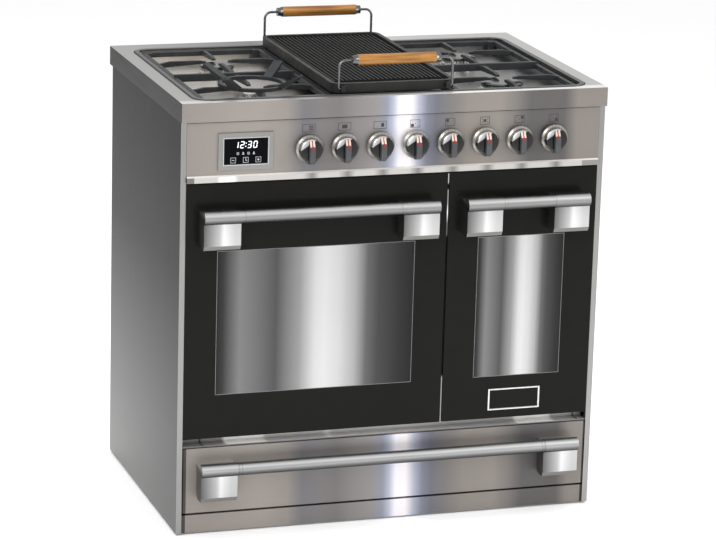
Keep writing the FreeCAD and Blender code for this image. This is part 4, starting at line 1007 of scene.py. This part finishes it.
def knob_trim(name):
    """Ivory and red pointer down the grip's slope, marks on the skirt and a dark ring round the cap."""
    x, z = knob_middle(name)
    place = slope_frame(x, z, POINTER_SLOPE)
    bm = bmesh.new()
    for middle in (-3.1, 3.1):
        slope_mark(bm, place, (middle - 2.0, 0.4, -0.2), (middle + 2.0, 14, 0.3))
    keep(bm, name + "_pointer", name, "knob_metal", POINTER_IVORY)

    bm = bmesh.new()
    slope_mark(bm, place, (-0.8, 0.8, -0.2), (0.8, 14, 0.35))
    bmesh.ops.create_cone(bm, cap_ends=True, segments=20, radius1=3.7 * MM, radius2=3.3 * MM, depth=0.8 * MM,
                          matrix=place @ Matrix.Translation((0, 16.4 * MM, 0.2 * MM)))
    keep(bm, name + "_pointer_line", name, "knob_metal", POINTER_RED)

    bm = bmesh.new()
    for count in range(SCALE_MARKS):
        turn = (count - SCALE_MARKS // 2) * SCALE_STEP
        slope_mark(bm, slope_frame(x, z, CONE_SLOPE, turn), (-0.35, 1.2, -0.2), (0.35, 3.6, 0.1))
    keep(bm, name + "_scale", name, "knob_metal", INK)

    bm = bmesh.new()
    spun(bm, CAP_RING, Vector((x, door_front, z)), -BACK, 40)
    keep(bm, name + "_rim", name, "knob_metal", KNOB_RIM)


for name in KNOBS:
    knob_trim(name)

# Hob opening: how far the tray reaches under the worktop, and the opening's corner radius
TRAY_FLANGE = 12 * MM
OPENING_CORNER = 26 * MM
RING_BEDDED = 0.3 * MM


def hob_ring(name, slot, finish, outer, width, rise, soft):
    """A raised ring round the hob opening: its outer edge past the opening, its width, rise and soft edge."""
    reach = outer - TRAY_FLANGE
    low, high = tray_low - Vector((reach, reach, 0)), tray_high + Vector((reach, reach, 0))
    bottom, top = top_high.z - RING_BEDDED, top_high.z + rise
    bm = bmesh.new()
    corners = ((low.x, low.y), (high.x, low.y), (high.x, high.y), (low.x, high.y))
    bm.faces.new([bm.verts.new((x, y, bottom)) for x, y in corners])
    soften(bm, bm.verts[:], OPENING_CORNER + outer, 10, "VERTICES")
    ring = hollow(bm, bm.faces[:][0], width)
    raised = bmesh.ops.extrude_face_region(bm, geom=ring)["geom"]
    verts = [item for item in raised if isinstance(item, bmesh.types.BMVert)]
    bmesh.ops.translate(bm, verts=verts, vec=UP * (top - bottom))
    bmesh.ops.recalc_face_normals(bm, faces=bm.faces)
    rims = [edge for edge in bm.edges
            if edge.calc_face_angle(0) > CORNER_ANGLE and min(vert.co.z for vert in edge.verts) > top_high.z]
    soften(bm, rims, soft, 3)
    keep(bm, name, "cabinet", slot, finish)


hob_ring("hob_bead", "brushed_steel", BEAD_STEEL, outer=8 * MM, width=9.5 * MM, rise=1.9 * MM, soft=1.2 * MM)
hob_ring("hob_seam", "rubber", RUBBER, outer=10.5 * MM, width=2.8 * MM, rise=0.7 * MM, soft=0.3 * MM)

# Burners in mm, from the burner layout: the middle across and along the hob, and the crown's radius
BURNERS = (
    (-268, -146, 24), (-268, 122, 34), (0, -12, 62), (268, 122, 34), (268, -146, 42),
)
IGNITER_TURNS = (math.radians(35), math.radians(145))
IGNITER_GAP = 10

# Half outlines in mm over the tray's floor
IGNITER_CERAMIC = ((0, 0), (3.4, 0), (3.4, 7), (2.2, 8.2), (0, 8.2))
IGNITER_TIP = ((0, 8.2), (0.8, 8.2), (0.8, 13), (0, 13.6))


def electrodes():
    """Ceramic igniter and flame probe beside each burner."""
    ceramics = bmesh.new()
    tips = bmesh.new()
    for x, y, radius in BURNERS:
        reach = radius + IGNITER_GAP
        for turn in IGNITER_TURNS:
            spot = Vector((x + reach * math.cos(turn), y - reach * math.sin(turn), 0)) * MM
            centre = spot + UP * tray_floor
            spun(ceramics, IGNITER_CERAMIC, centre, UP, 14)
            spun(tips, IGNITER_TIP, centre, UP, 10)
    keep(ceramics, "igniter_ceramics", "cabinet", "burner_alloy", CERAMIC)
    keep(tips, "igniter_tips", "cabinet", "burner_alloy", CHROME)


electrodes()

# Rear panel's screws: half outline in mm over the sheet, place in from the panel's edge, spaces along a side
SCREW = ((4.2, -0.2), (4.0, 0.9), (2.9, 1.8), (1.5, 2.0), (1.1, 1.1), (0.0, 1.1))
SCREW_INSET = Vector((9 * MM, 0, 9 * MM))
SCREW_SPACES = 4


def rear_screws():
    """Pan-head screws round the edge of the rear panel."""
    low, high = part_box("rear_panel")
    first, last = low + SCREW_INSET, high - SCREW_INSET
    shares = [step / SCREW_SPACES for step in range(SCREW_SPACES + 1)]
    bm = bmesh.new()
    for across_share in shares:
        for up_share in shares:
            if 0 < across_share < 1 and 0 < up_share < 1:
                continue
            x = first.x + (last.x - first.x) * across_share
            z = first.z + (last.z - first.z) * up_share
            spun(bm, SCREW, Vector((x, high.y, z)), BACK, 14)
    keep(bm, "rear_screws", "cabinet", "galvanised", CHROME)


rear_screws()


# Stage: floor, light, camera
def stage_floor():
    """Plain pale floor with a faint glow, so that it stays white."""
    bm = bmesh.new()
    bmesh.ops.create_grid(bm, x_segments=1, y_segments=1, size=12.0)
    mesh = bpy.data.meshes.new("studio_floor")
    bm.to_mesh(mesh)
    bm.free()
    pale = (0.97, 0.97, 0.97)
    finish = Finish("pale_floor", pale, 0.0, 0.8, Emission_Color=(1, 1, 1, 1), Emission_Strength=0.12)
    stops = ((0.2, (0.965, 0.965, 0.965)), (0.8, (0.975, 0.975, 0.975)))
    finish.colour(finish.ramp(finish.noise(0.4), stops))
    mesh.materials.append(finish.material)
    floor = bpy.data.objects.new("studio_floor", mesh)
    bpy.context.scene.collection.objects.link(floor)


def studio_world():
    """Soft white surroundings, a little darker low down, plain white behind the object."""
    world = bpy.data.worlds.new("studio")
    world.use_nodes = True
    tree = world.node_tree
    tree.nodes.clear()
    coords, split, lift, ramp, soft, plain, path, mix, out = (
        tree.nodes.new("ShaderNode" + kind) for kind in (
            "TexCoord", "SeparateXYZ", "MapRange", "ValToRGB", "Background", "Background", "LightPath",
            "MixShader", "OutputWorld"))
    lift.inputs["From Min"].default_value = -1.0
    low, high = ramp.color_ramp.elements
    low.position, low.color = 0.35, (0.62, 0.62, 0.62, 1)
    high.position, high.color = 0.75, (1.0, 1.0, 1.0, 1)
    soft.inputs["Strength"].default_value = 0.85
    plain.inputs["Color"].default_value = (1, 1, 1, 1)
    for source, target in (
            (coords.outputs["Generated"], split.inputs["Vector"]),
            (split.outputs["Z"], lift.inputs["Value"]),
            (lift.outputs["Result"], ramp.inputs["Fac"]),
            (ramp.outputs["Color"], soft.inputs["Color"]),
            (path.outputs["Is Camera Ray"], mix.inputs["Fac"]),
            (soft.outputs["Background"], mix.inputs[1]),
            (plain.outputs["Background"], mix.inputs[2]),
            (mix.outputs["Shader"], out.inputs["Surface"])):
        tree.links.new(source, target)
    bpy.context.scene.world = world


def softbox(name, place, aim, width, height, power, mirrored=True):
    """A soft lamp aimed at a point, seen in polished metal or not."""
    data = bpy.data.lights.new(name, "AREA")
    data.shape = "RECTANGLE"
    data.size = width
    data.size_y = height
    data.energy = power
    lamp = bpy.data.objects.new(name, data)
    lamp.location = place
    lamp.rotation_euler = (Vector(aim) - Vector(place)).to_track_quat("-Z", "Y").to_euler()
    lamp.visible_glossy = mirrored
    bpy.context.scene.collection.objects.link(lamp)


# Viewpoint of the photograph
FOCAL_PIXELS = 3247
PHOTO_WIDTH = 716
SENSOR = 36.0
CAMERA_PLACE = Vector((-2.0604, -6.3091, 2.2367))
CAMERA_YAW = math.radians(18.21)
CAMERA_PITCH = math.radians(14.95)
CAMERA_ROLL = math.radians(-1.62)


def camera():
    """Camera at the photograph's viewpoint, turned, tipped down and rolled."""
    data = bpy.data.cameras.new("camera")
    data.sensor_width = SENSOR
    data.lens = FOCAL_PIXELS / PHOTO_WIDTH * SENSOR
    data.clip_end = 60
    ahead = Vector((math.sin(CAMERA_YAW), math.cos(CAMERA_YAW), 0))
    level = Vector((math.cos(CAMERA_YAW), -math.sin(CAMERA_YAW), 0))
    forward = ahead * math.cos(CAMERA_PITCH) - UP * math.sin(CAMERA_PITCH)
    down = forward.cross(level)
    right = level * math.cos(CAMERA_ROLL) + down * math.sin(CAMERA_ROLL)
    up = level * math.sin(CAMERA_ROLL) - down * math.cos(CAMERA_ROLL)
    turn = Matrix((right, up, -forward)).transposed().to_4x4()
    view = bpy.data.objects.new("camera", data)
    view.matrix_world = Matrix.Translation(CAMERA_PLACE) @ turn
    bpy.context.scene.collection.objects.link(view)
    bpy.context.scene.camera = view


stage_floor()
studio_world()
softbox("key_light", (-2.2, -2.6, 2.9), (0, 0, 0.6), 2.4, 2.0, 70)
softbox("top_light", (0.2, 0.3, 3.2), (0, 0, 0.8), 2.6, 2.2, 60, mirrored=False)
softbox("right_light", (2.6, -1.8, 1.6), (0, 0, 0.5), 0.9, 2.2, 35)
camera()
bpy.context.scene.view_settings.view_transform = "Standard"
